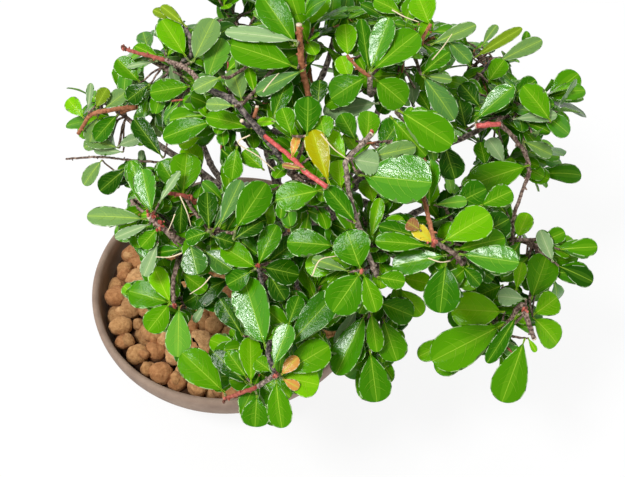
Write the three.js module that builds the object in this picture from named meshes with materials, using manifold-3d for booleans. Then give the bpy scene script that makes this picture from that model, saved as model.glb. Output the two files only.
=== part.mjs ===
// Potted maytenus: a young evergreen shrub with small glossy leaves in a shallow round pot.
// Millimetres, +Z up. The origin is the middle of the pot's flat underside.
import * as THREE from 'three';
import { mergeVertices } from 'three/addons/utils/BufferGeometryUtils.js';
import Module from 'manifold-3d';

const wasm = await Module();
wasm.setup();

// Clear gap kept between two solids that touch on the real plant
const SEAT_GAP = 0.3;

// Pot
const POT_HEIGHT = 45;
const POT_RADIUS = 75;
const POT_BELLY_Z = 41;
const POT_WALL = 3.8;
const POT_FLOOR = 5;
const POT_FLOOR_CURVE = 8;
const POT_FOOT_RADIUS = 40;
const POT_FOOT_Z = 12;
const POT_LIP_ROUND = 1.4;
const POT_SIDES = 28;
const OUTER_WALL_STEPS = 6;
const INNER_WALL_STEPS = 4;
const DRAIN_HOLES = 3;
const DRAIN_RADIUS = 4;
const DRAIN_RING = 22;
const DRAIN_SIDES = 10;

// Clay granules in the pot
const SOIL_Z = 37.5;
const GRANULES = 42;
const GRANULE_RADIUS = 7.6;
const GRANULE_SINK = 1.4;

// Trunk
const TRUNK_BASE = [11, 7];
const TRUNK_TIP = [33, -9, 92];
const TRUNK_RADIUS = 7;
const TRUNK_TIP_RADIUS = 4.6;
const ROOT_FLARE = 5.5;
const FLARE_SHARE = 0.22;
const ROOT_LOBES = 4;
const TRUNK_SIDES = 12;
const TRUNK_STEPS = 8;

// Boughs
const MAIN_RADIUS = 3;
const SIDE_RADIUS = 2.1;
const BOUGH_TIP_RADIUS = 1.3;
const BOUGH_SIDES = 5;
const BOUGH_STEPS = 4;
const BOUGH_WAVE = 1.6;
const BOUGH_BEND = 0.3;
const BOUGH_END = 0.52;
const LEADER_AT = 1;
const BOUGH_PHASE_STEP = 1.7;

// Twigs
const TWIG_RADIUS = 1.05;
const TWIG_TIP_RADIUS = 0.7;
const TWIG_SIDES = 3;
const STEM_STEPS = 3;
const SHOOT_STEPS = 2;
const SHOOT_BOW = 2;
const SHOOT_OPENING = [0.9, 1.45];
const SHOOT_REACH = [0.4, 0.56];
const SHOOT_SHARES = [0.45, 0.9];
const STEM_PAST_MIDDLE = 0.1;
const SHOOTS = 4;
const SHOOT_TRIES = 6;

// Leaves
const LEAF_LENGTH = [25, 30];
const LEAF_WIDTH = 0.6;
const LEAF_WIDEST_AT = 0.6;
const LEAF_LIFT = 0.035;
const LEAF_TIP_AT = 0.97;
const LEAF_TIP_WIDTH = 0.45;
const LEAF_THICKNESS = 0.035;
const LEAF_KEEL_AT = 0.12;
const LEAF_NECK = 0.3;
const LEAF_SHARES = [0.66, 0.97];
const LEAF_OPENING = [0.85, 1.3];
const LEAF_RISE = [-0.1, 0.25];
const SHOOT_LEAVES = 3;
const STEM_LEAVES = 2;
const LEAF_TRIES = 12;
const LEAF_TRY_TURN = 0.6;
const LEAF_TRY_SHRINK = 0.955;
const GOLDEN_TURN = Math.PI * (3 - Math.sqrt(5));

// Clearances, the seeds of the random draws and the directions that the crown grows in
const SMALLEST_EDGE = 0.02;
const MASS_GAP = 0.25;
const LIMB_GAP = 0.9;
const LOWEST_LEAF_Z = POT_HEIGHT + 3;
const GRANULE_SEED = 5;
const FIRST_MASS_SEED = 101;
const MASS_SEED_STEP = 17;
const CROWN_HEART = new THREE.Vector3(44, 6, 108);
const UP = new THREE.Vector3(0, 0, 1);

// The masses of foliage: where each has its middle and how far it reaches from there
const MASSES = [
  { name: 'front', middle: [20, -82, 100], reach: 33 },
  { name: 'front_left', middle: [-20, -60, 112], reach: 37 },
  { name: 'left', middle: [-32, -34, 152], reach: 38 },
  { name: 'left_mid', middle: [2, -52, 154], reach: 38 },
  { name: 'front_mid', middle: [42, -86, 132], reach: 36 },
  { name: 'centre', middle: [68, -70, 160], reach: 39 },
  { name: 'heart', middle: [36, -46, 182], reach: 36 },
  { name: 'centre_top', middle: [82, -36, 196], reach: 40 },
  { name: 'right_mid', middle: [104, -64, 160], reach: 37 },
  { name: 'front_right', middle: [73, -74, 104], reach: 32 },
  { name: 'right_front', middle: [125, -70, 106], reach: 35 },
  { name: 'right', middle: [142, -38, 130], reach: 37 },
  { name: 'right_back', middle: [134, 8, 166], reach: 39 },
  { name: 'top_right', middle: [128, 64, 146], reach: 41 },
  { name: 'top_mid_right', middle: [84, 16, 198], reach: 41 },
  { name: 'top_mid_left', middle: [42, 12, 200], reach: 39 },
  { name: 'mid_top', middle: [6, -8, 186], reach: 38 },
  { name: 'top_left', middle: [-22, 28, 170], reach: 38 },
  { name: 'far_left', middle: [-54, 34, 144], reach: 36 },
  { name: 'left_low', middle: [-38, 14, 104], reach: 33 },
  { name: 'left_back', middle: [-34, 74, 112], reach: 39 },
  { name: 'back_left', middle: [6, 82, 154], reach: 41 },
  { name: 'back', middle: [58, 70, 178], reach: 42 },
  { name: 'back_low', middle: [40, 110, 108], reach: 40 },
  { name: 'back_right', middle: [94, 104, 112], reach: 40 },
  { name: 'right_low', middle: [142, 26, 108], reach: 38 },
];

// The boughs, in the order they are grown: a bough leaves its parent at a share of the parent's
// length and ends where it enters the mass of its own name
const BOUGHS = [
  { name: 'centre_top', parent: 'trunk', at: 1, main: true },
  { name: 'right', parent: 'trunk', at: 0.62, main: true },
  { name: 'far_left', parent: 'trunk', at: 0.66, main: true },
  { name: 'front_mid', parent: 'trunk', at: 0.74, main: true },
  { name: 'back_left', parent: 'trunk', at: 0.78, main: true },
  { name: 'top_right', parent: 'trunk', at: 0.9, main: true },
  { name: 'top_mid_left', parent: 'centre_top', at: 0.2 },
  { name: 'heart', parent: 'centre_top', at: 0.3 },
  { name: 'centre', parent: 'centre_top', at: 0.4 },
  { name: 'right_mid', parent: 'centre_top', at: 0.55 },
  { name: 'right_front', parent: 'right', at: 0.5 },
  { name: 'front_right', parent: 'right', at: 0.22 },
  { name: 'right_low', parent: 'right', at: 0.36 },
  { name: 'left', parent: 'far_left', at: 0.36 },
  { name: 'left_low', parent: 'far_left', at: 0.5 },
  { name: 'left_back', parent: 'far_left', at: 0.25 },
  { name: 'front', parent: 'front_mid', at: 0.5 },
  { name: 'front_left', parent: 'front_mid', at: 0.28 },
  { name: 'left_mid', parent: 'front_mid', at: 0.4 },
  { name: 'back', parent: 'back_left', at: 0.36 },
  { name: 'back_low', parent: 'back_left', at: 0.5 },
  { name: 'mid_top', parent: 'top_mid_left', at: 0.3 },
  { name: 'top_left', parent: 'top_mid_left', at: 0.45 },
  { name: 'top_mid_right', parent: 'top_right', at: 0.3 },
  { name: 'right_back', parent: 'top_right', at: 0.5 },
  { name: 'back_right', parent: 'top_right', at: 0.7 },
];

for (const mass of MASSES) {
  mass.middle = new THREE.Vector3(...mass.middle);
}

// Random numbers from 0 to 1 that are the same on every run
function seededRandom(seed) {
  let state = seed;
  return () => {
    state = (state + 0x6d2b79f5) | 0;
    let mixed = Math.imul(state ^ (state >>> 15), 1 | state);
    mixed = (mixed + Math.imul(mixed ^ (mixed >>> 7), 61 | mixed)) ^ mixed;
    return ((mixed ^ (mixed >>> 14)) >>> 0) / 4294967296;
  };
}

function mix(low, high, share) {
  return low + (high - low) * share;
}

// Any direction square to the given one, the same on every run
function squareTo(direction) {
  const helper = Math.abs(direction.z) < 0.9 ? UP : new THREE.Vector3(1, 0, 0);
  return new THREE.Vector3().crossVectors(direction, helper).normalize();
}

function solidFromFaces(points, faces) {
  return new wasm.Manifold(new wasm.Mesh({
    numProp: 3,
    vertProperties: new Float32Array(points.flatMap((point) => [point.x, point.y, point.z])),
    triVerts: new Uint32Array(faces.flat()),
  }));
}

// A solid from rings of points that follow each other, closed by a flat fan at both ends
function solidFromRings(rings) {
  const sides = rings[0].length;
  const faces = [];
  for (let ring = 0; ring + 1 < rings.length; ring += 1) {
    for (let side = 0; side < sides; side += 1) {
      const a = ring * sides + side;
      const b = ring * sides + ((side + 1) % sides);
      faces.push([a, b, b + sides], [a, b + sides, a + sides]);
    }
  }
  const last = (rings.length - 1) * sides;
  for (let side = 1; side + 1 < sides; side += 1) {
    faces.push([0, side + 1, side], [last, last + side, last + side + 1]);
  }
  return solidFromFaces(rings.flat(), faces);
}

function solidFromGeometry(geometry) {
  const bare = geometry.clone();
  bare.deleteAttribute('normal');
  bare.deleteAttribute('uv');
  const merged = mergeVertices(bare, 1e-4);
  return new wasm.Manifold(new wasm.Mesh({
    numProp: 3,
    vertProperties: new Float32Array(merged.attributes.position.array),
    triVerts: new Uint32Array(merged.index.array),
  }));
}

// The outer skin of the largest piece: loose scraps go, and sealed hollows are filled
function largestPiece(solid) {
  const pieces = solid.simplify(SMALLEST_EDGE).decompose();
  pieces.sort((a, b) => b.volume() - a.volume());
  return pieces[0];
}

function meshFromSolid(name, solid, material) {
  const { vertProperties, triVerts } = solid.getMesh();
  const geometry = new THREE.BufferGeometry();
  geometry.setAttribute('position', new THREE.BufferAttribute(new Float32Array(vertProperties), 3));
  geometry.setIndex(new THREE.BufferAttribute(new Uint32Array(triVerts), 1));
  geometry.computeVertexNormals();
  const mesh = new THREE.Mesh(geometry, material);
  mesh.name = name;
  return mesh;
}

// A limb: a curve with a slight wave, a radius that tapers along it, and rings at even steps
class Limb {
  constructor({ points, radii, steps, sides, wave = 0, phase = 0 }) {
    this.curve = new THREE.CubicBezierCurve3(...points);
    this.radii = radii;
    this.steps = steps;
    this.sides = sides;
    this.wave = wave;
    this.phase = phase;
    const along = points[3].clone().sub(points[0]).normalize();
    this.sideways = squareTo(along);
    this.upward = new THREE.Vector3().crossVectors(this.sideways, along);
  }

  point(share) {
    const swing = this.wave * Math.sin(Math.PI * share);
    return this.curve.getPoint(share)
      .addScaledVector(this.sideways, swing * Math.sin(7 * share + this.phase))
      .addScaledVector(this.upward, swing * Math.cos(5 * share + this.phase));
  }

  // A point on the straight stretches between the rings, which are the solid's heart line
  heart(share) {
    const ring = Math.min(this.steps - 1, Math.floor(share * this.steps));
    const start = this.point(ring / this.steps);
    return start.lerp(this.point((ring + 1) / this.steps), share * this.steps - ring);
  }

  tangent(share) {
    const step = 0.01;
    return this.point(Math.min(1, share + step)).sub(this.point(Math.max(0, share - step))).normalize();
  }

  radius(share) {
    return mix(this.radii[0], this.radii[1], share);
  }

  // The solid, each ring turned as little as possible from the one before
  solid(extraRadius = 0, shape = () => 1) {
    const rings = [];
    let across = squareTo(this.tangent(0));
    for (let step = 0; step <= this.steps; step += 1) {
      const share = step / this.steps;
      const tangent = this.tangent(share);
      across = across.clone().addScaledVector(tangent, -across.dot(tangent)).normalize();
      const other = new THREE.Vector3().crossVectors(tangent, across);
      const middle = this.point(share);
      const ring = [];
      for (let side = 0; side < this.sides; side += 1) {
        const angle = (2 * Math.PI * side) / this.sides;
        const radius = (this.radius(share) + extraRadius) * shape(share, angle);
        ring.push(middle.clone()
          .addScaledVector(across, radius * Math.cos(angle))
          .addScaledVector(other, radius * Math.sin(angle)));
      }
      rings.push(ring);
    }
    return solidFromRings(rings);
  }

  // How far a point is from the limb's bark
  distanceTo(point) {
    let nearest = Infinity;
    for (let step = 0; step < this.steps; step += 1) {
      const start = this.point(step / this.steps);
      const stretch = this.point((step + 1) / this.steps).sub(start);
      const along = point.clone().sub(start).dot(stretch) / stretch.lengthSq();
      const share = THREE.MathUtils.clamp(along, 0, 1);
      const heart = start.addScaledVector(stretch, share);
      nearest = Math.min(nearest, heart.distanceTo(point) - this.radius((step + share) / this.steps));
    }
    return nearest;
  }
}

// Pot: the outer wall is a quarter ellipse from the foot to the belly, the inner one runs beside it
function potProfile() {
  const outline = [
    [0, 0],
    [POT_FOOT_RADIUS - 2, 0],
    [POT_FOOT_RADIUS - 1, 1],
    [POT_FOOT_RADIUS, POT_FOOT_Z],
  ];
  for (let step = 1; step <= OUTER_WALL_STEPS; step += 1) {
    const angle = (Math.PI / 2) * (step / OUTER_WALL_STEPS);
    outline.push([
      mix(POT_FOOT_RADIUS, POT_RADIUS, Math.sin(angle)),
      mix(POT_FOOT_Z, POT_BELLY_Z, 1 - Math.cos(angle)),
    ]);
  }
  outline.push([POT_RADIUS - 0.4, POT_HEIGHT - POT_LIP_ROUND]);
  outline.push([POT_RADIUS - POT_LIP_ROUND, POT_HEIGHT]);
  outline.push([POT_RADIUS - POT_WALL + POT_LIP_ROUND, POT_HEIGHT]);
  outline.push([POT_RADIUS - POT_WALL, POT_HEIGHT - POT_LIP_ROUND]);
  return [...outline, ...potInside(0)];
}

// The inner wall from the lip down to the middle of the pot's floor, drawn in by a gap
function potInside(gap) {
  const topRadius = POT_RADIUS - POT_WALL - gap;
  const floorRadius = POT_FOOT_RADIUS - POT_WALL - gap;
  const floorZ = POT_FLOOR + gap;
  const inside = [];
  for (let step = 0; step <= INNER_WALL_STEPS; step += 1) {
    const angle = (Math.PI / 2) * (1 - step / INNER_WALL_STEPS);
    inside.push([
      mix(floorRadius, topRadius, Math.sin(angle)),
      mix(floorZ + POT_FLOOR_CURVE, POT_BELLY_Z, 1 - Math.cos(angle)),
    ]);
  }
  inside.push([floorRadius - 3, floorZ]);
  inside.push([0, floorZ]);
  return inside;
}

function lathe(profile) {
  const points = profile.map(([radius, z]) => new THREE.Vector2(radius, z));
  const geometry = new THREE.LatheGeometry(points, POT_SIDES);
  geometry.rotateX(Math.PI / 2);
  return solidFromGeometry(geometry);
}

function makePot() {
  let pot = lathe(potProfile());
  for (let hole = 0; hole < DRAIN_HOLES; hole += 1) {
    const angle = (2 * Math.PI * hole) / DRAIN_HOLES;
    const drain = new THREE.CylinderGeometry(DRAIN_RADIUS, DRAIN_RADIUS, 3 * POT_FLOOR, DRAIN_SIDES);
    drain.rotateX(Math.PI / 2);
    drain.translate(DRAIN_RING * Math.cos(angle), DRAIN_RING * Math.sin(angle), 0);
    pot = pot.subtract(solidFromGeometry(drain));
  }
  return largestPiece(pot);
}

// Clay fill: a disc that fits the pot, with its top layer of granules fused on round the trunk
function makeClay(trunk) {
  const random = seededRandom(GRANULE_SEED);
  const discZ = SOIL_Z - SEAT_GAP;
  const wall = potInside(SEAT_GAP);
  const lower = wall.findIndex(([, z]) => z < discZ);
  const share = (discZ - wall[lower][1]) / (wall[lower - 1][1] - wall[lower][1]);
  const discRadius = mix(wall[lower][0], wall[lower - 1][0], share);
  let clay = lathe([...wall.slice(lower).reverse(), [discRadius, discZ], [0, discZ]]);
  const field = discRadius - GRANULE_RADIUS - 1;
  for (let index = 0; index < GRANULES; index += 1) {
    const radius = field * Math.sqrt((index + 0.5) / GRANULES);
    const angle = index * GOLDEN_TURN;
    const size = GRANULE_RADIUS * mix(0.8, 1.05, random());
    const middle = new THREE.Vector3(radius * Math.cos(angle), radius * Math.sin(angle), SOIL_Z);
    middle.z += mix(-1, 1, random()) - GRANULE_SINK;
    const granule = new THREE.OctahedronGeometry(size, 0);
    granule.rotateX(mix(0.4, 1.1, random()));
    granule.scale(1, mix(0.75, 1, random()), mix(0.75, 0.9, random()));
    granule.rotateZ(2 * Math.PI * random());
    granule.translate(middle.x, middle.y, middle.z);
    if (trunk.distanceTo(middle) > size + ROOT_FLARE + LIMB_GAP) {
      clay = clay.add(solidFromGeometry(granule));
    }
  }
  return largestPiece(clay);
}

// Trunk: it leans to the right and tapers to its fork
function trunkLimb() {
  const foot = new THREE.Vector3(TRUNK_BASE[0], TRUNK_BASE[1], SOIL_Z);
  const tip = new THREE.Vector3(...TRUNK_TIP);
  const rise = new THREE.Vector3(0, 0, 0.4 * (tip.z - foot.z));
  return new Limb({
    points: [foot, foot.clone().add(rise), tip.clone().sub(rise).add(new THREE.Vector3(-8, 5, 0)), tip],
    radii: [TRUNK_RADIUS, TRUNK_TIP_RADIUS],
    steps: TRUNK_STEPS,
    sides: TRUNK_SIDES,
  });
}

// The trunk's foot spreads into root lobes at the soil
function makeTrunk(limb) {
  return limb.solid(0, (share, angle) => {
    const spread = Math.max(0, 1 - share / FLARE_SHARE) ** 2;
    return 1 + spread * (ROOT_FLARE / TRUNK_RADIUS) * (0.55 + 0.45 * Math.cos(ROOT_LOBES * angle));
  });
}

// A bough's curve, from its parent's heart line to just inside its own mass
function boughLimb(bough, parent, mass, phase) {
  const leader = bough.at === LEADER_AT;
  const start = parent.heart(bough.at);
  const leaving = parent.tangent(bough.at);
  const span = mass.middle.distanceTo(start);
  const towards = mass.middle.clone().sub(start).normalize();
  const direction = leader ? leaving : leaving.clone().addScaledVector(towards, 1.4).normalize();
  const entry = mass.middle.clone().sub(CROWN_HEART).normalize();
  entry.addScaledVector(towards, 1.2).addScaledVector(UP, 0.5).normalize();
  const tip = mass.middle.clone().addScaledVector(entry, -mass.reach * BOUGH_END);
  if (leader) {
    start.addScaledVector(leaving, SEAT_GAP);
  }
  return new Limb({
    points: [
      start,
      start.clone().addScaledVector(direction, span * BOUGH_BEND),
      tip.clone().addScaledVector(entry, -span * BOUGH_BEND),
      tip,
    ],
    radii: [bough.main ? MAIN_RADIUS : SIDE_RADIUS, BOUGH_TIP_RADIUS],
    steps: BOUGH_STEPS,
    sides: BOUGH_SIDES,
    wave: leader ? 0 : BOUGH_WAVE,
    phase,
  });
}

// A bough's solid is cut clear of its parent, except the leader's, which starts past the trunk's tip
function makeBough(bough) {
  const solid = limbs.get(bough.name).solid();
  if (bough.at === LEADER_AT) {
    return solid;
  }
  return largestPiece(solid.subtract(limbs.get(bough.parent).solid(SEAT_GAP)));
}

// Whether a point keeps to the mass's own space: nearer its middle than any other's, weighed by reach
function inOwnSpace(point, mass) {
  if (point.z < LOWEST_LEAF_Z || point.distanceTo(mass.middle) > mass.reach) {
    return false;
  }
  const own = point.distanceToSquared(mass.middle) - mass.reach ** 2;
  return MASSES.every((other) => {
    if (other === mass) {
      return true;
    }
    const theirs = point.distanceToSquared(other.middle) - other.reach ** 2;
    return (theirs - own) / (2 * mass.middle.distanceTo(other.middle)) > MASS_GAP;
  });
}

function clearOfLimbs(point, obstacles, margin) {
  return obstacles.every((limb) => limb.distanceTo(point) > margin);
}

// A leaf's outline: its root inside the twig, then its two edges at its widest and at its blunt tip
function leafOutline(leaf) {
  const { root, along, normal, length } = leaf;
  const across = new THREE.Vector3().crossVectors(normal, along);
  const halfWidth = (LEAF_WIDTH * length) / 2;
  const sections = [
    { at: LEAF_WIDEST_AT, half: halfWidth, lift: LEAF_LIFT * length },
    { at: LEAF_TIP_AT, half: halfWidth * LEAF_TIP_WIDTH, lift: 0 },
  ];
  const edges = sections.map(({ at, half, lift }) => {
    const middle = root.clone().addScaledVector(along, at * length).addScaledVector(normal, lift);
    return [middle.clone().addScaledVector(across, half), middle.clone().addScaledVector(across, -half)];
  });
  return [[root, root], ...edges];
}

// A leaf's solid: a flat face over the outline, and below it a keel that is deepest near the root
function leafSolid(leaf) {
  const [[root], [left, right], [tipLeft, tipRight]] = leafOutline(leaf);
  const keel = root.clone()
    .addScaledVector(leaf.along, LEAF_KEEL_AT * leaf.length)
    .addScaledVector(leaf.normal, -LEAF_THICKNESS * leaf.length);
  const points = [root, left, right, tipLeft, tipRight, keel];
  const faces = [
    [0, 2, 1], [1, 2, 4], [1, 4, 3],
    [0, 1, 5], [0, 5, 2], [1, 3, 5], [3, 4, 5], [4, 2, 5],
  ];
  return solidFromFaces(points, faces);
}

// Points spread over a leaf, to test that it touches no limb
function leafSamples(outline) {
  const samples = [];
  const steps = 3;
  for (let section = 0; section + 1 < outline.length; section += 1) {
    for (let step = 1; step <= steps; step += 1) {
      const share = step / steps;
      const left = outline[section][0].clone().lerp(outline[section + 1][0], share);
      const right = outline[section][1].clone().lerp(outline[section + 1][1], share);
      samples.push(left, right, left.clone().lerp(right, 0.5));
    }
  }
  return samples;
}

// The open part of a leaf's blade, past its neck, as triangles and as lines along them
function leafBlade(outline) {
  const [root, wide, tip] = outline;
  const neck = [root[0].clone().lerp(wide[0], LEAF_NECK), root[1].clone().lerp(wide[1], LEAF_NECK)];
  const middle = ([left, right]) => left.clone().lerp(right, 0.5);
  return {
    triangles: [
      [neck[0], neck[1], wide[1]], [neck[0], wide[1], wide[0]],
      [wide[0], wide[1], tip[1]], [wide[0], tip[1], tip[0]],
    ],
    lines: [
      [neck[0], wide[0]], [wide[0], tip[0]], [tip[0], tip[1]], [tip[1], wide[1]], [wide[1], neck[1]],
      [middle(neck), middle(wide)], [middle(wide), middle(tip)],
    ],
  };
}

function linesCross(lines, triangles) {
  const ray = new THREE.Ray();
  const hit = new THREE.Vector3();
  return lines.some(([start, end]) => {
    ray.set(start, end.clone().sub(start).normalize());
    const span = start.distanceTo(end);
    return triangles.some(([a, b, c]) => ray.intersectTriangle(a, b, c, false, hit) !== null
      && hit.distanceTo(start) < span);
  });
}

function bladesCross(one, other) {
  return linesCross(one.lines, other.triangles) || linesCross(other.lines, one.triangles);
}

// Where a leaf grows from a shoot: it opens away from the shoot and turns its face to the light
function leafOnShoot(shoot, share, turn, random) {
  const open = mix(...LEAF_OPENING, random());
  const tangent = shoot.tangent(share);
  const first = squareTo(tangent);
  const second = new THREE.Vector3().crossVectors(tangent, first);
  const radial = first.multiplyScalar(Math.cos(turn)).addScaledVector(second, Math.sin(turn));
  const along = tangent.clone().multiplyScalar(Math.cos(open)).addScaledVector(radial, Math.sin(open));
  along.addScaledVector(UP, mix(...LEAF_RISE, random())).normalize();
  const facing = tangent.clone().multiplyScalar(0.7).addScaledVector(UP, 0.9);
  facing.add(new THREE.Vector3(random() - 0.5, random() - 0.5, 0).multiplyScalar(0.4));
  facing.addScaledVector(along, -facing.dot(along)).normalize();
  return {
    root: shoot.heart(share),
    along,
    normal: facing,
    length: mix(...LEAF_LENGTH, random()),
  };
}

// The stem of a mass goes on from its bough's tip to just past the mass's middle
function stemLimb(bough, mass) {
  const heading = bough.tangent(1);
  const start = bough.point(1).addScaledVector(heading, SEAT_GAP);
  const end = mass.middle.clone().addScaledVector(heading, mass.reach * STEM_PAST_MIDDLE);
  return new Limb({
    points: [
      start,
      start.clone().addScaledVector(heading, 5),
      end.clone().addScaledVector(heading, -5),
      end,
    ],
    radii: [BOUGH_TIP_RADIUS, TWIG_TIP_RADIUS],
    steps: STEM_STEPS,
    sides: TWIG_SIDES,
  });
}

// A shoot runs from the stem towards the rim of the mass, on the side that its turn gives
function shootLimb(stem, mass, share, turn, random) {
  const outward = mass.middle.clone().sub(CROWN_HEART).normalize().addScaledVector(UP, 0.35).normalize();
  const first = squareTo(outward);
  const second = new THREE.Vector3().crossVectors(outward, first);
  const open = mix(...SHOOT_OPENING, random());
  const direction = outward.multiplyScalar(Math.cos(open))
    .addScaledVector(first, Math.sin(open) * Math.cos(turn))
    .addScaledVector(second, Math.sin(open) * Math.sin(turn));
  const start = stem.heart(share);
  const tip = mass.middle.clone().addScaledVector(direction, mass.reach * mix(...SHOOT_REACH, random()));
  const bow = start.clone().lerp(tip, 0.5).addScaledVector(UP, SHOOT_BOW);
  return new Limb({
    points: [start, start.clone().lerp(bow, 0.7), bow.clone().lerp(tip, 0.4), tip],
    radii: [TWIG_RADIUS, TWIG_TIP_RADIUS],
    steps: SHOOT_STEPS,
    sides: TWIG_SIDES,
  });
}

// Every limb, grown from the trunk outwards
const trunk = trunkLimb();
const limbs = new Map([['trunk', trunk]]);
BOUGHS.forEach((bough, index) => {
  const mass = MASSES.find(({ name }) => name === bough.name);
  const parent = limbs.get(bough.parent);
  limbs.set(bough.name, boughLimb(bough, parent, mass, index * BOUGH_PHASE_STEP));
});
const stems = new Map(MASSES.map((mass) => [mass.name, stemLimb(limbs.get(mass.name), mass)]));

function shootFits(shoot, mass, obstacles) {
  return [0.3, 0.5, 0.7, 0.85, 1].every((share) => {
    const point = shoot.point(share);
    return inOwnSpace(point, mass) && clearOfLimbs(point, obstacles, TWIG_RADIUS + LIMB_GAP);
  });
}

function leafFits(outline, mass, obstacles) {
  return outline.flat().every((point) => inOwnSpace(point, mass))
    && leafSamples(outline).every((point) => clearOfLimbs(point, obstacles, LIMB_GAP));
}

// The shoots of a mass: one that would leave the mass's space or touch a limb is turned or skipped
function growShoots(stem, mass, obstacles, random) {
  const shoots = [];
  const spin = 2 * Math.PI * random();
  for (let index = 0; index < SHOOTS; index += 1) {
    for (let attempt = 0; attempt < SHOOT_TRIES; attempt += 1) {
      const turn = spin + (2 * Math.PI * (index + mix(-0.25, 0.25, random()))) / SHOOTS;
      const shoot = shootLimb(stem, mass, mix(...SHOOT_SHARES, index / (SHOOTS - 1)), turn, random);
      if (shootFits(shoot, mass, obstacles)) {
        shoots.push(shoot);
        break;
      }
    }
  }
  return shoots;
}

// The leaves of a mass: one that would leave its space, touch a limb or cross another leaf is
// turned and made smaller, and in the end skipped
function growLeaves(stem, shoots, mass, obstacles, random) {
  const leaves = [];
  const blades = [];
  let turn = 2 * Math.PI * random();
  for (const shoot of [...shoots, stem]) {
    const count = shoot === stem ? STEM_LEAVES : SHOOT_LEAVES;
    for (let index = 0; index < count; index += 1) {
      const share = mix(...LEAF_SHARES, index / (count - 1));
      turn += GOLDEN_TURN;
      for (let attempt = 0; attempt < LEAF_TRIES; attempt += 1) {
        const leaf = leafOnShoot(shoot, share, turn + attempt * LEAF_TRY_TURN, random);
        leaf.length *= LEAF_TRY_SHRINK ** attempt;
        const outline = leafOutline(leaf);
        const blade = leafBlade(outline);
        if (leafFits(outline, mass, obstacles) && !blades.some((other) => bladesCross(blade, other))) {
          blades.push(blade);
          leaves.push(leaf);
          break;
        }
      }
    }
  }
  return leaves;
}

// A mass of foliage: its stem, the shoots that fan out from it and their leaves, fused into one
function makeMass(mass, seed) {
  const random = seededRandom(seed);
  const stem = stems.get(mass.name);
  const otherStems = [...stems.values()].filter((other) => other !== stem);
  const obstacles = [...limbs.values(), ...otherStems];
  const shoots = growShoots(stem, mass, obstacles, random);
  const leaves = growLeaves(stem, shoots, mass, obstacles, random);
  let solid = stem.solid();
  for (const shoot of shoots) {
    solid = solid.add(shoot.solid());
  }
  for (const leaf of leaves) {
    solid = solid.add(leafSolid(leaf));
  }
  return largestPiece(solid);
}

const potClay = new THREE.MeshStandardMaterial({ color: 0x8f7a6b, roughness: 0.85, metalness: 0 });
const granuleClay = new THREE.MeshStandardMaterial({ color: 0xa97c50, roughness: 0.95, metalness: 0 });
const bark = new THREE.MeshStandardMaterial({ color: 0x4a3a30, roughness: 0.9, metalness: 0 });
const foliage = new THREE.MeshStandardMaterial({ color: 0x3f7d14, roughness: 0.35, metalness: 0 });

const plant = new THREE.Group();
plant.add(meshFromSolid('pot', makePot(), potClay));
plant.add(meshFromSolid('clay_fill', makeClay(trunk), granuleClay));
plant.add(meshFromSolid('trunk', makeTrunk(trunk), bark));
for (const bough of BOUGHS) {
  plant.add(meshFromSolid(`bough_${bough.name}`, makeBough(bough), bark));
}
MASSES.forEach((mass, index) => {
  const seed = FIRST_MASS_SEED + index * MASS_SEED_STEP;
  plant.add(meshFromSolid(`leaves_${mass.name}`, makeMass(mass, seed), foliage));
});

export default plant;
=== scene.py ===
import math
import random

import bpy
import numpy as np
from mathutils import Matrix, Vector


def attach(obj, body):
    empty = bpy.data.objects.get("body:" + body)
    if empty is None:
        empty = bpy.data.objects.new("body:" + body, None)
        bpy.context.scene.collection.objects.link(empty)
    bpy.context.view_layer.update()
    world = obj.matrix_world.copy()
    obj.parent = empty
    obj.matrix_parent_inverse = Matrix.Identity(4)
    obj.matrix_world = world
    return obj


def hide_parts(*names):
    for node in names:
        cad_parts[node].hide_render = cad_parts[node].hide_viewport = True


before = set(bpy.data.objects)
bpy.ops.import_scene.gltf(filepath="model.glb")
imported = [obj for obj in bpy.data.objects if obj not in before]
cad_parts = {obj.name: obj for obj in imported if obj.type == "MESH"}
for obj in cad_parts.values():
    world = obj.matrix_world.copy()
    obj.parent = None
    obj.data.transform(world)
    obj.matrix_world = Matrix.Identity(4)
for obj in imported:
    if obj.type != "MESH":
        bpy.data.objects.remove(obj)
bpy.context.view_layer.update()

MM = 0.001
UP = np.array([0.0, 0.0, 1.0])

# Camera
IMAGE_WIDTH = 625
IMAGE_HEIGHT = 477
CAMERA_TARGET = np.array([43.8, 28.5, 45.0])
CAMERA_DISTANCE = 560.0
CAMERA_ELEVATION = math.radians(52.3)
FOCAL_PIXELS = 1004.0
SENSOR_WIDTH = 36.0

# Light and floor: the lamp's and the floor's size are in metres, the sky's angles in degrees
KEY_DISTANCE = 1300.0
KEY_SIZE = 0.28
KEY_POWER = 12.0
SKY_ANGLES = (75, 25)
SKY_STRENGTHS = (1.12, 0.48)
FLOOR_SIZE = 6.0
FLOOR_GREY = (93, 93, 93)
FLOOR_GLOW = 0.87

# Pot, as in the part's source
POT_HEIGHT = 45.0
POT_RADIUS = 75.0
POT_BELLY_Z = 41.0
POT_WALL = 3.8
POT_FLOOR = 5.0
POT_FLOOR_CURVE = 8.0
POT_FOOT_RADIUS = 40.0
POT_FOOT_Z = 12.0
DRAIN_HOLES = 3
DRAIN_RADIUS = 4.0
DRAIN_RING = 22.0

# The pot's edges, its unevenness and its mesh
POT_LIP_HEIGHT = 2.2
POT_FLOOR_EDGE = 3.0
FOOT_EDGE = ((-2.0, 0.0), (-1.0, 0.4), (-0.3, 2.0))
POT_OVAL = 0.0022
POT_WAVES = 0.0012
POT_SIDES = 160
OUTSIDE_STEPS = 26
INSIDE_STEPS = 20
LIP_STEPS = 12
THROWING_RELIEF = 0.12
THROWING_WAVES = 2.1
THROWING_MARGIN = 2.0
POT_CLAYS = ((128, 106, 91), (154, 132, 115))

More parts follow.
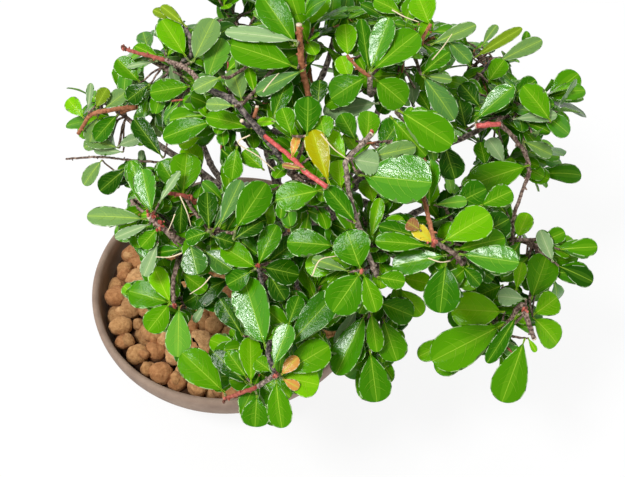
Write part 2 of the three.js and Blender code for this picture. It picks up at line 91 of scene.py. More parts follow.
# Clay granules
SOIL_Z = 37.5
GRANULE_SIZES = (4.7, 6.4)
SMALL_GRANULES = 110
SMALL_SIZES = (2.5, 3.8)
GRANULE_SPACING = 9.6
GRANULE_FIELD = 63.5
GRANULE_EDGE = 69.5
GRANULE_TOP = POT_HEIGHT - 2.4
GRANULE_DENSITY = 1.25
GRANULE_SHIFT = 1.3
GRANULE_SINK = 1.7
GRANULE_STEPS = (-1.4, 1.2)
GRANULE_RISE = (-1.2, 1.2)
SMALL_SHIFT = 2.0
SMALL_RISE = (-0.2, 1.4)
GRANULE_ROOM = 8.5
BED_DROP = 4.5
BED_SIDES = 64
WORN_FACES = 5
WORN_DEPTH = 0.13
WORN_EDGE = 2.2
LUMPS = 6
LUMP_WAVES = 6
LUMP_HEIGHT = 0.026
GRANULE_STRETCH = (0.82, 1.12)
GRANULE_SHADES = ((175, 127, 75), (202, 148, 90), (213, 161, 104), (188, 134, 79), (184, 123, 71))
GRANULE_DARK = (96, 58, 28)
# Light colour of the granules' raised bumps: partly the clay's paler tone, partly a painted highlight on
# their tops
GRANULE_PALE_AND_HIGHLIGHT = (236, 206, 170)
# Dark brown of the disc under the granules: painted shade in the gaps between them
GAP_SHADE = (70, 46, 30)

# Trunk and boughs, as in the part's source
TRUNK_BASE = (11.0, 7.0)
TRUNK_TIP = (33.0, -9.0, 92.0)
TRUNK_RADII = (7.0, 4.6)
TRUNK_RISE = 0.4
TRUNK_LEAN = np.array([-8.0, 5.0, 0.0])
TRUNK_STEPS = 8
BOUGH_STEPS = 4
STEM_STEPS = 3
ROOT_FLARE = 5.5
FLARE_SHARE = 0.22
ROOT_LOBES = 4
MAIN_RADIUS = 3.0
SIDE_RADIUS = 2.1
BOUGH_TIP_RADIUS = 1.3
BOUGH_WAVE = 1.6
BOUGH_BEND = 0.3
BOUGH_END = 0.52
BOUGH_PHASE_STEP = 1.7
WAVE_TURNS = (7, 5)
SEAT_GAP = 0.3
CROWN_HEART = np.array([44.0, 6.0, 108.0])

# Bark and mesh of the trunk and boughs
BOUGH_RING = 1.5
TRUNK_SIDES = 28
BOUGH_SIDES = 14
BOUGH_RELIEF = 0.06
BOUGH_KNOTS = 7
KNOT_RISE = 0.22

# Twigs and leaves of the rule
STEM_RADII = (1.3, 0.7)
STEM_START = 5.0
STEM_END = 0.1
SHOOT_RADII = (0.68, 0.4)
SHOOTS = 18
SHOOT_TRIES = 7
SHOOT_OPENING = (0.3, 2.2)
SHOOT_REACH = (0.26, 0.6)
SHOOT_FEET = (0.4, 0.95)
SHOOT_SWAY = (-0.1, 0.1)
YOUNG_START = 0.66
SHOOT_LEAVES = 8
STEM_LEAVES = 6
LEAF_TRIES = 12
LEAF_LENGTH = (16.0, 25.0)
LEAF_BREADTH = (0.48, 0.64)
LEAF_SHARES = (0.3, 1.0)
LEAF_OPENING = (0.7, 1.3)
END_OPENING = (0.3, 1.1)
END_SHARE = 0.93
LEAF_LIFT = (-0.1, 0.25)
LEAF_SWAY = (-0.3, 0.3)
LEAF_SHRINK = 0.95
LEAF_GAP = 0.5
TRY_TURN = 0.7
GOLDEN_SHARE = 0.618
GOLDEN_TURN = math.pi * (3 - math.sqrt(5))
FULL_TURN = 6.28
LOWEST_LEAF_Z = POT_HEIGHT + 3
SPACE_SLACK = 4.0
REACH_SLACK = 0.4

# Seeds
MOST_SEED = 1 << 30
SPRAY_SEED = 7
GRANULE_SEED = 11
BUD_SEED = 31
MASS_SEED = 300
MASS_SEED_STEP = 17
BARK_SEED = 900

# The masses of foliage: middle and reach, as in the part's source
MASSES = {
    "front": ((20, -82, 100), 33),
    "front_left": ((-20, -60, 112), 37),
    "left": ((-32, -34, 152), 38),
    "left_mid": ((2, -52, 154), 38),
    "front_mid": ((42, -86, 132), 36),
    "centre": ((68, -70, 160), 39),
    "heart": ((36, -46, 182), 36),
    "centre_top": ((82, -36, 196), 40),
    "right_mid": ((104, -64, 160), 37),
    "front_right": ((73, -74, 104), 32),
    "right_front": ((125, -70, 106), 35),
    "right": ((142, -38, 130), 37),
    "right_back": ((134, 8, 166), 39),
    "top_right": ((128, 64, 146), 41),
    "top_mid_right": ((84, 16, 198), 41),
    "top_mid_left": ((42, 12, 200), 39),
    "mid_top": ((6, -8, 186), 38),
    "top_left": ((-22, 28, 170), 38),
    "far_left": ((-54, 34, 144), 36),
    "left_low": ((-38, 14, 104), 33),
    "left_back": ((-34, 74, 112), 39),
    "back_left": ((6, 82, 154), 41),
    "back": ((58, 70, 178), 42),
    "back_low": ((40, 110, 108), 40),
    "back_right": ((94, 104, 112), 40),
    "right_low": ((142, 26, 108), 38),
}

# The boughs: name, parent, and share of the parent's length; those of the trunk are the main ones
BOUGHS = (
    ("centre_top", "trunk", 1),
    ("right", "trunk", 0.62),
    ("far_left", "trunk", 0.66),
    ("front_mid", "trunk", 0.74),
    ("back_left", "trunk", 0.78),
    ("top_right", "trunk", 0.9),
    ("top_mid_left", "centre_top", 0.2),
    ("heart", "centre_top", 0.3),
    ("centre", "centre_top", 0.4),
    ("right_mid", "centre_top", 0.55),
    ("right_front", "right", 0.5),
    ("front_right", "right", 0.22),
    ("right_low", "right", 0.36),
    ("left", "far_left", 0.36),
    ("left_low", "far_left", 0.5),
    ("left_back", "far_left", 0.25),
    ("front", "front_mid", 0.5),
    ("front_left", "front_mid", 0.28),
    ("left_mid", "front_mid", 0.4),
    ("back", "back_left", 0.36),
    ("back_low", "back_left", 0.5),
    ("mid_top", "top_mid_left", 0.3),
    ("top_left", "top_mid_left", 0.45),
    ("top_mid_right", "top_right", 0.3),
    ("right_back", "top_right", 0.5),
    ("back_right", "top_right", 0.7),
)

# Sprays that show plainly in the picture: the mass that carries each, how far it stands out of the
# mass towards the viewer, its node's pixel, and its leaves from the topmost down, each with its
# root's and tip's pixel, its width in millimetres and its tint, which also holds painted shade and
# light, as each leaf's tint was matched to how dark or light it looks where it stands
SPRAYS = {
    "front_tip": ("front", 36, (276, 374), (
        (281, 375, 298, 357, 6.2, "orange"),
        (283, 379, 299, 388, 4.6, "orange"),
        (276, 379, 282, 428, 11, "mid"),
        (282, 374, 329, 346, 14, "bright"),
        (281, 377, 319, 385, 13.4, "lime"),
        (272, 372, 256, 360, 8, "bright"),
    )),
    "front_tip_high": ("front_mid", 14, (273, 367), (
        (273, 368, 289, 325, 9.6, "gloss"),
    )),
    "front_red": ("front", 24, (255, 388), (
        (251, 384, 250, 337, 10.5, "fresh"),
        (257, 395, 255, 427, 12.4, "rich"),
        (247, 378, 227, 351, 8, "mid"),
        (248, 384, 213, 352, 8.5, "deep"),
    )),
    "front_pink": ("front", 12, (226, 397), (
        (225, 393, 182, 353, 15.2, "bright"),
    )),
    "front_big": ("front_mid", 10, (269, 350), (
        (266, 349, 243, 278, 16.5, "gloss"),
        (283, 352, 336, 293, 13, "dark"),
        (288, 326, 299, 296, 8, "dark"),
        (243, 336, 220, 299, 10, "deep"),
    )),
    "pot_left": ("front_left", 16, (174, 305), (
        (179, 306, 178, 357, 12, "pale_bright"),
        (171, 304, 154, 267, 9.4, "lime"),
        (170, 303, 148, 331, 11.6, "bright"),
        (171, 303, 129, 291, 13, "mid"),
    )),
    "pot_left_dark": ("front_left", 8, (183, 268), (
        (181, 272, 206, 291, 9, "bright"),
        (231, 278, 184, 303, 13.5, "deep"),
        (205, 304, 194, 322, 4, "under"),
    )),
    "mid_star": ("left_mid", 16, (258, 267), (
        (258, 266, 277, 225, 9.6, "rich"),
        (257, 268, 222, 246, 10.6, "bright"),
        (262, 267, 299, 275, 12, "deep"),
        (252, 271, 227, 285, 10, "dark"),
        (268, 272, 285, 300, 9, "deep"),
        (268, 262, 298, 240, 10, "dark"),
    )),
    "centre_low": ("centre", 18, (362, 270), (
        (361, 270, 347, 231, 15.4, "rich"),
        (361, 272, 333, 312, 15.2, "rich"),
        (363, 273, 376, 312, 9, "bright"),
        (350, 272, 312, 259, 5.5, "pale"),
        (377, 277, 405, 282, 8, "mid"),
        (336, 246, 287, 242, 12, "rich"),
    )),
    "centre_hang": ("front_right", 20, (369, 311), (
        (371, 312, 377, 352, 8, "bright"),
        (366, 312, 336, 374, 13.4, "gloss"),
        (370, 350, 377, 402, 14.6, "rich"),
        (378, 302, 413, 316, 12.4, "rich"),
        (383, 318, 397, 361, 13.4, "mid"),
        (358, 307, 336, 345, 6.2, "under"),
    )),
    "right_hang": ("right_front", 14, (526, 312), (
        (526, 299, 498, 296, 8.5, "under"),
        (525, 338, 502, 402, 15.8, "mid"),
        (517, 315, 487, 363, 7.4, "dark"),
        (528, 338, 536, 352, 3, "lime"),
        (504, 324, 432, 361, 18.8, "bright"),
        (505, 312, 451, 309, 17, "lime"),
        (503, 285, 478, 296, 11, "rich"),
        (455, 338, 418, 357, 9, "fresh"),
    )),
    "right_edge": ("right", 6, (530, 302), (
        (516, 291, 522, 262, 6.6, "lime"),
        (531, 300, 547, 254, 16, "mid"),
        (533, 315, 557, 297, 12, "fresh"),
        (533, 317, 557, 344, 13.4, "fresh"),
    )),
    "flower_node": ("right_mid", 22, (435, 244), (
        (420, 230, 407, 222, 6.6, "dry"),
        (433, 243, 413, 226, 6.6, "yellow"),
        (441, 243, 490, 214, 14.8, "fresh"),
        (430, 246, 375, 241, 8.2, "mid"),
        (428, 240, 379, 226, 8, "dark"),
        (447, 255, 393, 266, 10.6, "gloss"),
        (446, 262, 440, 313, 15, "dark"),
    )),
    "right_gloss": ("right_mid", 14, (459, 256), (
        (459, 254, 515, 262, 11.8, "gloss"),
        (455, 250, 505, 238, 11, "mid"),
        (470, 240, 509, 219, 12, "deep"),
        (462, 266, 480, 285, 7, "dark"),
    )),
    "right_round": ("right_mid", 10, (446, 208), (
        (434, 205, 467, 201, 5.6, "pale_bright"),
        (453, 205, 486, 189, 12, "dark"),
        (480, 206, 512, 191, 10, "mid"),
    )),
    "under_right": ("right_mid", -4, (474, 266), (
        (474, 266, 493, 280, 6.4, "dark"),
    )),
    "olive_low": ("front_right", 8, (396, 284), (
        (400, 288, 422, 315, 9, "lime"),
        (394, 284, 403, 313, 9, "lime"),
        (400, 277, 431, 284, 9, "lime"),
    )),
    "behind_stub": ("centre_top", -6, (370, 142), (
        (366, 146, 369, 111, 10, "bright"),
        (379, 151, 400, 120, 12, "dark"),
        (356, 141, 341, 114, 9, "rich"),
        (358, 152, 344, 134, 8, "lime"),
    )),
    "big_gloss": ("centre_top", 14, (356, 172), (
        (351, 159, 379, 164, 10.6, "under"),
        (358, 175, 429, 184, 20.5, "gloss"),
        (429, 205, 431, 160, 8.8, "gloss"),
        (371, 157, 416, 147, 8, "pale"),
        (347, 160, 323, 133, 10.2, "lime"),
        (341, 189, 338, 160, 9.2, "lime"),
    )),
    "olive_leaf": ("heart", 22, (328, 187), (
        (329, 184, 312, 130, 9.4, "olive"),
        (356, 223, 326, 187, 8.6, "dark"),
        (322, 190, 276, 200, 11.8, "mid"),
    )),
    "under_pink": ("heart", 4, (324, 183), (
        (322, 181, 283, 152, 8.4, "bright"),
    )),
    "over_twig": ("top_mid_left", 29, (222, 77), (
        (221, 77, 194, 90, 7.2, "pale"),
    )),
    "over_twig_low": ("top_mid_left", 31, (235, 106), (
        (234, 106, 206, 104, 6.2, "pale"),
    )),
    "pink_shoot": ("heart", 15, (292, 158), (
        (292, 158, 298, 135, 3.8, "orange"),
    )),
    "pink_shoot_low": ("heart", 21, (305, 171), (
        (304, 169, 282, 165, 2.8, "dry"),
    )),
    "centre_narrow": ("centre", 6, (371, 242), (
        (371, 240, 380, 198, 6, "fresh"),
    )),
    "heart_left": ("left_mid", 22, (235, 232), (
        (235, 230, 266, 183, 13.2, "rich"),
        (233, 240, 262, 221, 8, "deep"),
        (219, 227, 241, 180, 8.2, "grey_green"),
    )),
    "left_dark": ("left_mid", 18, (209, 230), (
        (212, 232, 238, 195, 7, "deep"),
        (209, 230, 207, 192, 9, "deep"),
        (208, 232, 186, 240, 8, "dark"),
        (212, 236, 233, 243, 8, "deep"),
    )),
    "left_sheen": ("left_mid", 10, (192, 245), (
        (190, 243, 199, 274, 12, "gloss_dark"),
        (203, 250, 233, 269, 10.5, "gloss_dark"),
    )),
    "left_red": ("left", 20, (151, 217), (
        (152, 214, 142, 169, 10.4, "gloss"),
        (159, 203, 180, 171, 4, "under"),
        (148, 212, 131, 161, 8, "mid"),
        (146, 219, 87, 216, 9.2, "pale"),
        (150, 224, 115, 238, 5, "under"),
        (158, 228, 141, 247, 8.4, "mid"),
        (158, 243, 144, 276, 6.6, "under"),
        (182, 249, 157, 253, 6, "dark"),
    )),
    "left_lime": ("left_mid", 0, (184, 196), (
        (183, 194, 187, 153, 14, "bright"),
        (182, 195, 161, 162, 9, "rich"),
        (188, 191, 197, 170, 3.4, "under"),
        (182, 200, 180, 233, 7, "deep"),
        (201, 174, 187, 145, 10.5, "lime"),
    )),
    "thin_twig": ("left_low", 8, (128, 165), (
        (128, 167, 100, 191, 10.4, "deep"),
        (102, 160, 84, 185, 8.4, "pale"),
        (141, 163, 142, 150, 3.6, "under"),
    )),
    "upper_left": ("mid_top", 16, (216, 122), (
        (252, 128, 206, 117, 9.2, "bright"),
        (214, 121, 163, 138, 10.8, "rich"),
        (237, 146, 232, 179, 9, "mid"),
        (264, 170, 243, 151, 8, "bright"),
    )),
    "upper_left_back": ("mid_top", 2, (202, 134), (
        (202, 135, 179, 146, 6.4, "lime"),
    )),
    "upper_left_low": ("top_left", 8, (176, 112), (
        (192, 86, 150, 93, 11.6, "mid"),
        (163, 158, 134, 119, 9.4, "deep"),
    )),
    "top_left_tall": ("top_left", 16, (190, 62), (
        (193, 62, 214, 19, 12.8, "pale"),
        (186, 57, 162, 20, 12.2, "fresh"),
        (187, 27, 161, 6, 5.4, "olive_green"),
        (184, 24, 153, 10, 5.4, "olive_green"),
        (206, 84, 222, 38, 12, "pale_bright"),
        (170, 62, 177, 87, 5, "under"),
    )),
    "red_end": ("top_left", 8, (150, 60), (
        (160, 58, 135, 46, 6.2, "bright"),
        (158, 61, 127, 67, 3.2, "under"),
        (149, 52, 143, 32, 8, "grey_green"),
        (140, 82, 117, 59, 10, "mid"),
        (150, 84, 128, 100, 10, "deep"),
    )),
    "far_left_end": ("far_left", 8, (99, 112), (
        (88, 112, 91, 83, 3.8, "under"),
        (96, 108, 107, 88, 7, "olive_green"),
        (104, 109, 126, 92, 9, "pale"),
        (118, 114, 95, 140, 11, "dark"),
        (84, 118, 68, 99, 8, "lime"),
        (98, 116, 90, 142, 8.6, "pale"),
        (118, 146, 140, 138, 7, "under"),
        (119, 148, 86, 139, 8, "pale"),
        (123, 152, 94, 150, 5, "under"),
        (108, 134, 84, 148, 7, "pale"),
    )),
    "top_grey": ("top_mid_left", 24, (298, 42), (
        (297, 41, 225, 32, 7.6, "under"),
        (297, 46, 261, -6, 13, "rich"),
        (297, 68, 231, 45, 14.4, "mid"),
        (292, 46, 267, 11, 8, "deep"),
        (304, 70, 256, 93, 8, "grey_green"),
    )),
    "top_yellow": ("mid_top", 20, (272, 122), (
        (278, 122, 257, 122, 4.6, "lime"),
        (272, 120, 288, 79, 8.8, "dark"),
        (256, 97, 248, 67, 5.2, "bright"),
        (242, 101, 232, 70, 9.6, "pale"),
    )),
    "top_round": ("heart", 20, (307, 136), (
        (307, 136, 308, 97, 11.4, "dark"),
        (326, 142, 320, 116, 10, "bright"),
        (292, 136, 282, 108, 8.4, "mid"),
    )),
    "star": ("top_mid_right", 22, (370, 74), (
        (371, 72, 418, 33, 14.8, "mid"),
        (370, 72, 389, 18, 10.4, "gloss"),
        (368, 76, 331, 99, 14.6, "rich"),
        (375, 79, 405, 104, 15, "mid"),
        (348, 57, 345, 24, 9.6, "fresh"),
        (369, 72, 361, 19, 7.2, "dark"),
        (350, 82, 341, 56, 8, "lime"),
        (356, 92, 325, 105, 9, "mid"),
        (379, 103, 323, 112, 10, "under"),
        (366, 74, 357, 56, 5, "bright"),
    )),
    "under_top": ("heart", -10, (318, 106), (
        (318, 106, 320, 80, 8, "deep"),
    )),
    "under_gloss": ("centre_top", -10, (374, 204), (
        (374, 204, 366, 179, 9, "lime"),
    )),
    "under_fan": ("top_mid_right", -10, (414, 106), (
        (414, 106, 411, 82, 7, "under"),
        (431, 113, 418, 92, 7, "rich"),
    )),
    "top_bright": ("top_mid_right", 10, (430, 28), (
        (430, 26, 418, -4, 12.4, "fresh"),
        (402, 14, 374, 0, 9, "bright"),
    )),
    "fan": ("top_mid_right", 14, (422, 74), (
        (422, 74, 449, 52, 8.2, "rich"),
        (422, 75, 454, 120, 10.6, "grey_green"),
        (430, 45, 476, 25, 6.6, "pale"),
        (424, 76, 452, 80, 4.6, "pale"),
        (447, 40, 470, 62, 8, "grey_green"),
    )),
    "right_bright": ("centre_top", 18, (396, 111), (
        (398, 110, 452, 145, 14.6, "mid"),
        (390, 116, 426, 156, 11, "mid"),
    )),
    "right_deep": ("centre_top", 0, (446, 150), (
        (444, 143, 455, 179, 11, "deep"),
    )),
    "top_right_end": ("top_right", 14, (480, 74), (
        (488, 82, 504, 60, 10.4, "bright"),
        (496, 63, 542, 40, 8.6, "pale"),
        (474, 58, 522, 28, 6.4, "olive_green"),
        (482, 46, 497, 25, 5, "pale"),
        (476, 84, 482, 100, 7, "lime"),
    )),
    "pink_stub": ("right_back", 18, (477, 123), (
        (475, 120, 510, 89, 10.2, "gloss"),
        (551, 122, 523, 86, 13, "bright"),
        (508, 98, 536, 80, 8, "dark"),
        (513, 119, 557, 115, 6, "under"),
        (466, 130, 459, 100, 10, "deep"),
        (481, 108, 461, 84, 9.5, "deep"),
    )),
    "right_stem": ("right_back", 6, (526, 150), (
        (523, 141, 552, 155, 7.2, "pale"),
        (530, 165, 466, 187, 14.4, "bright"),
        (505, 164, 488, 139, 8.4, "under"),
        (486, 168, 480, 142, 8, "rich"),
    )),
    "right_single": ("right", 10, (516, 239), (
        (517, 238, 528, 213, 8.4, "lime"),
        (553, 262, 540, 230, 7, "under"),
    )),
}

# Twigs that show: the pixels of each with their depth from the camera in millimetres, radii at both
# ends, the bark's kind, the mass whose stem carries it and the end that it joins, and its cut end
FIRST, LAST = 0, -1
TWIGS = (
    (((265, 136, 402), (292, 158, 392), (306, 172, 386), (327, 187, 384)), (0.9, 1.0), "pink",
     None, None, None),
    (((268, 141, 404), (246, 115, 402), (232, 100, 404), (205, 88, 410)), (1.35, 1.1), "black",
     "heart", FIRST, None),
    (((205, 88, 410), (187, 69, 422), (166, 60, 434)), (1.1, 0.9), "brown", None, None, None),
    (((166, 60, 434), (146, 55, 442), (124, 49, 448)), (0.85, 0.75), "red", None, None, None),
    (((250, 126, 401), (246, 124, 399), (242, 121, 397)), (0.9, 0.8), "black", None, None, LAST),
    (((254, 117, 402), (256, 112, 399), (257, 107, 398)), (0.8, 0.7), "orange", None, None, LAST),
    (((376, 275, 397), (362, 236, 393), (350, 196, 389), (345, 162, 385)), (1.05, 0.95), "grey",
     "centre", FIRST, None),
    (((345, 163, 385), (352, 154, 384), (360, 147, 383), (371, 134, 383)), (0.95, 0.9), "grey",
     None, None, LAST),
    (((311, 104, 423), (302, 66, 413), (300, 40, 407), (299, 25, 403)), (1.35, 1.2), "orange",
     "top_mid_left", FIRST, LAST),
    (((370, 94, 416), (370, 86, 412), (370, 76, 409)), (1.2, 1.0), "grey", "top_mid_right", FIRST, None),
    (((370, 77, 409), (358, 68, 407), (347, 55, 405)), (0.75, 0.6), "orange", None, None, None),
    (((417, 50, 421), (423, 38, 419), (431, 24, 417)), (0.8, 0.7), "orange", "top_mid_right", FIRST, None),
    (((423, 194, 400), (427, 212, 394), (434, 240, 390)), (0.9, 0.85), "orange", None, None, None),
    (((434, 242, 391), (452, 252, 398), (462, 264, 404)), (0.85, 1.0), "brown", "right_mid", LAST, None),
    (((476, 126, 434), (488, 125, 433), (500, 124, 434)), (1.15, 1.1), "pink", None, None, FIRST),
    (((500, 124, 434), (512, 136, 440), (524, 152, 445), (529, 170, 450), (522, 192, 449),
      (514, 216, 447), (512, 246, 451)), (1.0, 0.8), "brown", "right_back", FIRST, None),
    (((66, 159, 502), (100, 157, 498), (128, 160, 496), (168, 163, 500)), (0.5, 0.6), "brown",
     "left_low", LAST, None),
    (((78, 134, 483), (90, 116, 479), (104, 111, 477), (136, 107, 481)), (0.9, 1.1), "orange",
     "far_left", LAST, None),
    (((225, 399, 437), (238, 394, 431), (255, 388, 425)), (0.85, 0.95), "red", None, None, FIRST),
    (((255, 388, 425), (263, 383, 421), (270, 378, 417), (275, 374, 413)), (0.9, 1.0), "grey",
     None, None, None),
    (((275, 375, 413), (271, 362, 409), (268, 350, 411), (274, 332, 421)), (0.9, 1.1), "black",
     "front_mid", LAST, None),
    (((258, 268, 409), (263, 284, 415), (268, 300, 423)), (0.7, 1.1), "black", "left_mid", LAST, None),
    (((150, 217, 417), (163, 228, 419), (176, 238, 423), (189, 243, 431)), (1.2, 1.4), "brown",
     "left", LAST, FIRST),
    (((174, 305, 437), (173, 288, 437), (176, 268, 439), (182, 254, 445)), (0.75, 1.2), "brown",
     "front_left", LAST, None),
    (((168, 193, 425), (180, 195, 423), (191, 198, 425), (196, 204, 429)), (0.8, 1.1), "red",
     "left_mid", LAST, FIRST),
    (((186, 28, 449), (190, 38, 447), (192, 52, 449)), (0.9, 1.1), "black", "top_left", LAST, None),
    (((490, 60, 488), (483, 72, 490), (474, 80, 494), (474, 92, 500)), (0.6, 1.0), "black",
     "top_right", LAST, None),
    (((524, 306, 437), (528, 322, 439), (534, 338, 443)), (1.3, 1.1), "brown", "right_front", FIRST, LAST),
    (((369, 310, 431), (370, 330, 435), (370, 350, 437)), (0.6, 0.5), "brown", None, None, None),
)

# Red buds: carrying mass, pixel, stand-out, radius of the cluster and number
BUDS = (
    ("left", (151, 215, 21), 3.0, 16),
    ("left", (161, 225, 19), 3.2, 16),
    ("right_mid", (434, 243, 23), 2.0, 14),
    ("front", (276, 375, 37), 1.7, 10),
    ("front", (256, 387, 25), 1.8, 10),
    ("front", (225, 400, 13), 1.4, 9),
    ("front_left", (175, 306, 17), 1.2, 8),
    ("top_left", (124, 48, 13.5), 1.5, 9),
    ("right_front", (526, 309, 15), 2.0, 10),
    ("left_mid", (190, 197, 1), 1.5, 8),
    ("centre_top", (372, 131, 18), 0.8, 4),
    ("left_mid", (258, 266, 17), 0.8, 4),
    ("centre", (362, 271, 19), 0.9, 5),
)

# Sprays whose node lies on one of the twigs above
ON_TWIGS = ("pink_shoot", "pink_shoot_low", "olive_leaf", "front_red", "front_pink", "flower_node",
            "front_tip", "front_tip_high")

# Dried flower stalks, cream coloured: carrying mass and the pixels and stand-out along each
DRIED_STALKS = (
    ("left_mid", ((250, 135, 34), (238, 143, 34), (258, 156, 32), (275, 171, 30))),
    ("left", ((180, 196, 22), (187, 212, 24), (191, 226, 22))),
    ("left", ((175, 214, 22), (172, 222, 22), (168, 231, 20))),
    ("left_mid", ((182, 253, 14), (170, 257, 12), (156, 257, 10))),
    ("left_mid", ((211, 276, 20), (202, 286, 20), (190, 294, 18))),
    ("centre", ((312, 276, 22), (320, 260, 24), (336, 256, 22))),
    ("right_mid", ((428, 258, 26), (440, 262, 26), (450, 261, 24))),
    ("top_mid_right", ((392, 10, 24), (405, 17, 24), (419, 22, 24))),
    ("top_mid_right", ((432, 60, 18), (443, 47, 20), (452, 34, 20))),
    ("top_mid_left", ((263, 92, 28), (270, 83, 29), (279, 73, 28))),
    ("heart", ((321, 134, 28), (334, 149, 26), (349, 160, 24))),
)

# Pixels where the background or the pot shows between the leaves: middle and radius
OPENINGS = (
    (118, 204, 9), (98, 240, 12), (120, 262, 22), (150, 345, 20), (128, 320, 22), (200, 330, 14),
    (226, 320, 7), (196, 352, 6), (236, 392, 6), (170, 390, 26), (215, 420, 26), (310, 412, 18),
    (345, 398, 14), (383, 286, 3), (382, 321, 3), (433, 322, 13), (418, 342, 9), (415, 326, 8),
    (409, 354, 8), (209, 9, 10), (177, 6, 8), (504, 43, 9), (112, 165, 7), (158, 47, 5), (544, 195, 6),
    (80, 146, 5), (519, 336, 6), (149, 79, 5), (519, 184, 6), (531, 184, 5), (415, 62, 5),
    (326, 371, 6), (310, 73, 5), (209, 66, 3), (414, 385, 20), (516, 330, 5), (256, 168, 9),
    (244, 178, 5), (286, 178, 5), (327, 208, 5), (322, 40, 5), (325, 57, 5), (314, 72, 6), (319, 14, 3),
    (321, 25, 4), (246, 21, 5), (238, 6, 6), (246, 65, 5), (395, 119, 5), (410, 62, 5), (406, 82, 5),
    (455, 62, 4), (476, 62, 4), (466, 150, 10), (490, 138, 6), (512, 148, 6), (528, 200, 10),
    (540, 208, 10), (516, 178, 6), (524, 248, 5), (150, 118, 5), (118, 112, 7), (128, 124, 6),
    (112, 86, 5), (148, 70, 6), (168, 143, 5), (197, 150, 4), (186, 182, 3), (100, 50, 22),
    (120, 22, 20), (88, 80, 12), (196, 12, 12), (460, 8, 14), (540, 18, 16), (532, 70, 6),
    (218, 178, 5), (150, 150, 5), (150, 24, 7), (156, 42, 5), (480, 24, 13), (536, 230, 11),
    (440, 10, 9), (518, 70, 8), (540, 50, 11), (511, 50, 5), (495, 54, 4), (400, 364, 9), (323, 386, 6),
    (132, 151, 8), (490, 363, 11), (388, 398, 9), (541, 81, 8), (170, 152, 8), (327, 60, 6),
    (101, 81, 7), (124, 193, 6), (80, 98, 6), (329, 78, 6), (153, 72, 7), (152, 162, 6), (476, 149, 5),
    (522, 253, 4), (512, 190, 5), (327, 42, 5), (465, 167, 8), (530, 60, 6), (108, 233, 6),
    (446, 22, 5), (159, 70, 4), (461, 72, 4), (471, 38, 4), (434, 3, 4), (536, 360, 5), (106, 290, 12),
)

# Tints of the leaves' upper side, as seen in daylight: partly the leaves' own greens and partly painted
# shade and light, as the darker and lighter greens were matched to how shaded or lit each leaf looks
TINTS = {
    "deep": (30, 76, 1),
    "dark": (44, 104, 2),
    "rich": (58, 120, 2),
    "mid": (70, 133, 2),
    "bright": (80, 144, 2),
    "fresh": (96, 162, 3),
    "lime": (114, 182, 4),
    "pale": (103, 141, 70),
    "pale_bright": (96, 158, 44),
    "grey_green": (76, 126, 52),
    "under": (129, 160, 107),
    "gloss": (64, 132, 4),
    "gloss_dark": (52, 106, 18),
    "olive": (150, 148, 2),
    "olive_green": (114, 144, 26),
    "orange": (206, 146, 70),
    "yellow": (216, 198, 54),
    "dry": (150, 100, 66),
}
FILL_TINTS = ("mid", "rich", "bright", "mid", "dark", "rich", "fresh", "mid", "gloss", "dark", "bright",
              "deep", "mid", "fresh")
GLOSS_TINTS = ("gloss", "gloss_dark")
MATT_TINTS = ("under", "pale", "grey_green")
UNDERSIDE = (142, 168, 116)
VEIN_LIGHT = (186, 212, 70)
# The rim's pale colour: partly the margin's own paler green, partly a painted highlight for the glint along
# the toothed edge
RIM_HIGHLIGHT = (222, 234, 204)
UNDER_BLEND = 0.3
RIB_BLEND = 0.6
RIM_HIGHLIGHT_BLEND = 0.62
VEIN_BLEND = 0.42
INNER_BLEND = 0.14
PART_ROUGHNESS = (0.7, 0.4, 0.25, 0.35)

# A leaf that turns its underside up: its other parts' colours, and the roughness of all
TURNED_COLOURS = ((76, 128, 30), (172, 190, 140), (186, 204, 168), (150, 178, 122), (140, 170, 112))
TURNED_ROUGHNESS = (0.65, 0.4, 0.6, 0.6, 0.6, 0.65)

# Roughness and specular level of the blade
GLOSS_FINISH = (0.17, 0.32)
MATT_FINISH = (0.5, 0.15)
PLAIN_FINISH = (0.14, 0.08)
RIM_SPECULAR = 0.5

# Bark colours
BARKS = {
    "black": (52, 40, 38),
    "dark": (78, 60, 50),
    "brown": (112, 76, 60),
    "grey": (136, 112, 96),
    "orange": (178, 104, 62),
    "red": (168, 72, 54),
    "pink": (222, 84, 80),
    "green": (122, 148, 44),
}
YOUNG_BARKS = ("pink", "red", "orange")
BARK_CRACK = (10, 8, 8)
BARK_FLECK = (236, 222, 206)
BARK_FINENESS = 760

# Share of the cracks' colour, share of the flecks' colour and strength of the relief
YOUNG_LOOK = (0.2, 0.16, 0.25)
OLD_LOOK = (0.36, 0.5, 0.7)

# Colours of cut wood and dried stalks
CUT_WOOD = (216, 196, 172)
DRIED_STALK = (226, 208, 172)

# Buds: colour and roughness
BUD_SHADES = {
    "red": ((150, 58, 42), 0.6),
    "pink": ((196, 104, 88), 0.5),
    "brown": ((106, 60, 42), 0.7),
}
BUD_SPREAD = 0.34
BUD_SIZES = (0.36, 0.75)
BUD_STRETCH = (1.3, 2.4)


def unit(vector):
    return vector / np.linalg.norm(vector)


def mix(low, high, share):
    return low + (high - low) * share


def square_to(direction):
    """A way square to a direction"""
    helper = UP if abs(direction[2]) < 0.9 else np.array([1.0, 0.0, 0.0])
    return unit(np.cross(direction, helper))


def around(direction, turn):
    """A way square to a direction, turned about it"""
    first = square_to(direction)
    return first * math.cos(turn) + np.cross(direction, first) * math.sin(turn)


# Camera geometry, to place what shows at a pixel
VIEW_BACK = np.array([0.0, -math.cos(CAMERA_ELEVATION), math.sin(CAMERA_ELEVATION)])
VIEW_UP = np.array([0.0, math.sin(CAMERA_ELEVATION), math.cos(CAMERA_ELEVATION)])
VIEW_RIGHT = np.array([1.0, 0.0, 0.0])
CAMERA_PLACE = CAMERA_TARGET + CAMERA_DISTANCE * VIEW_BACK


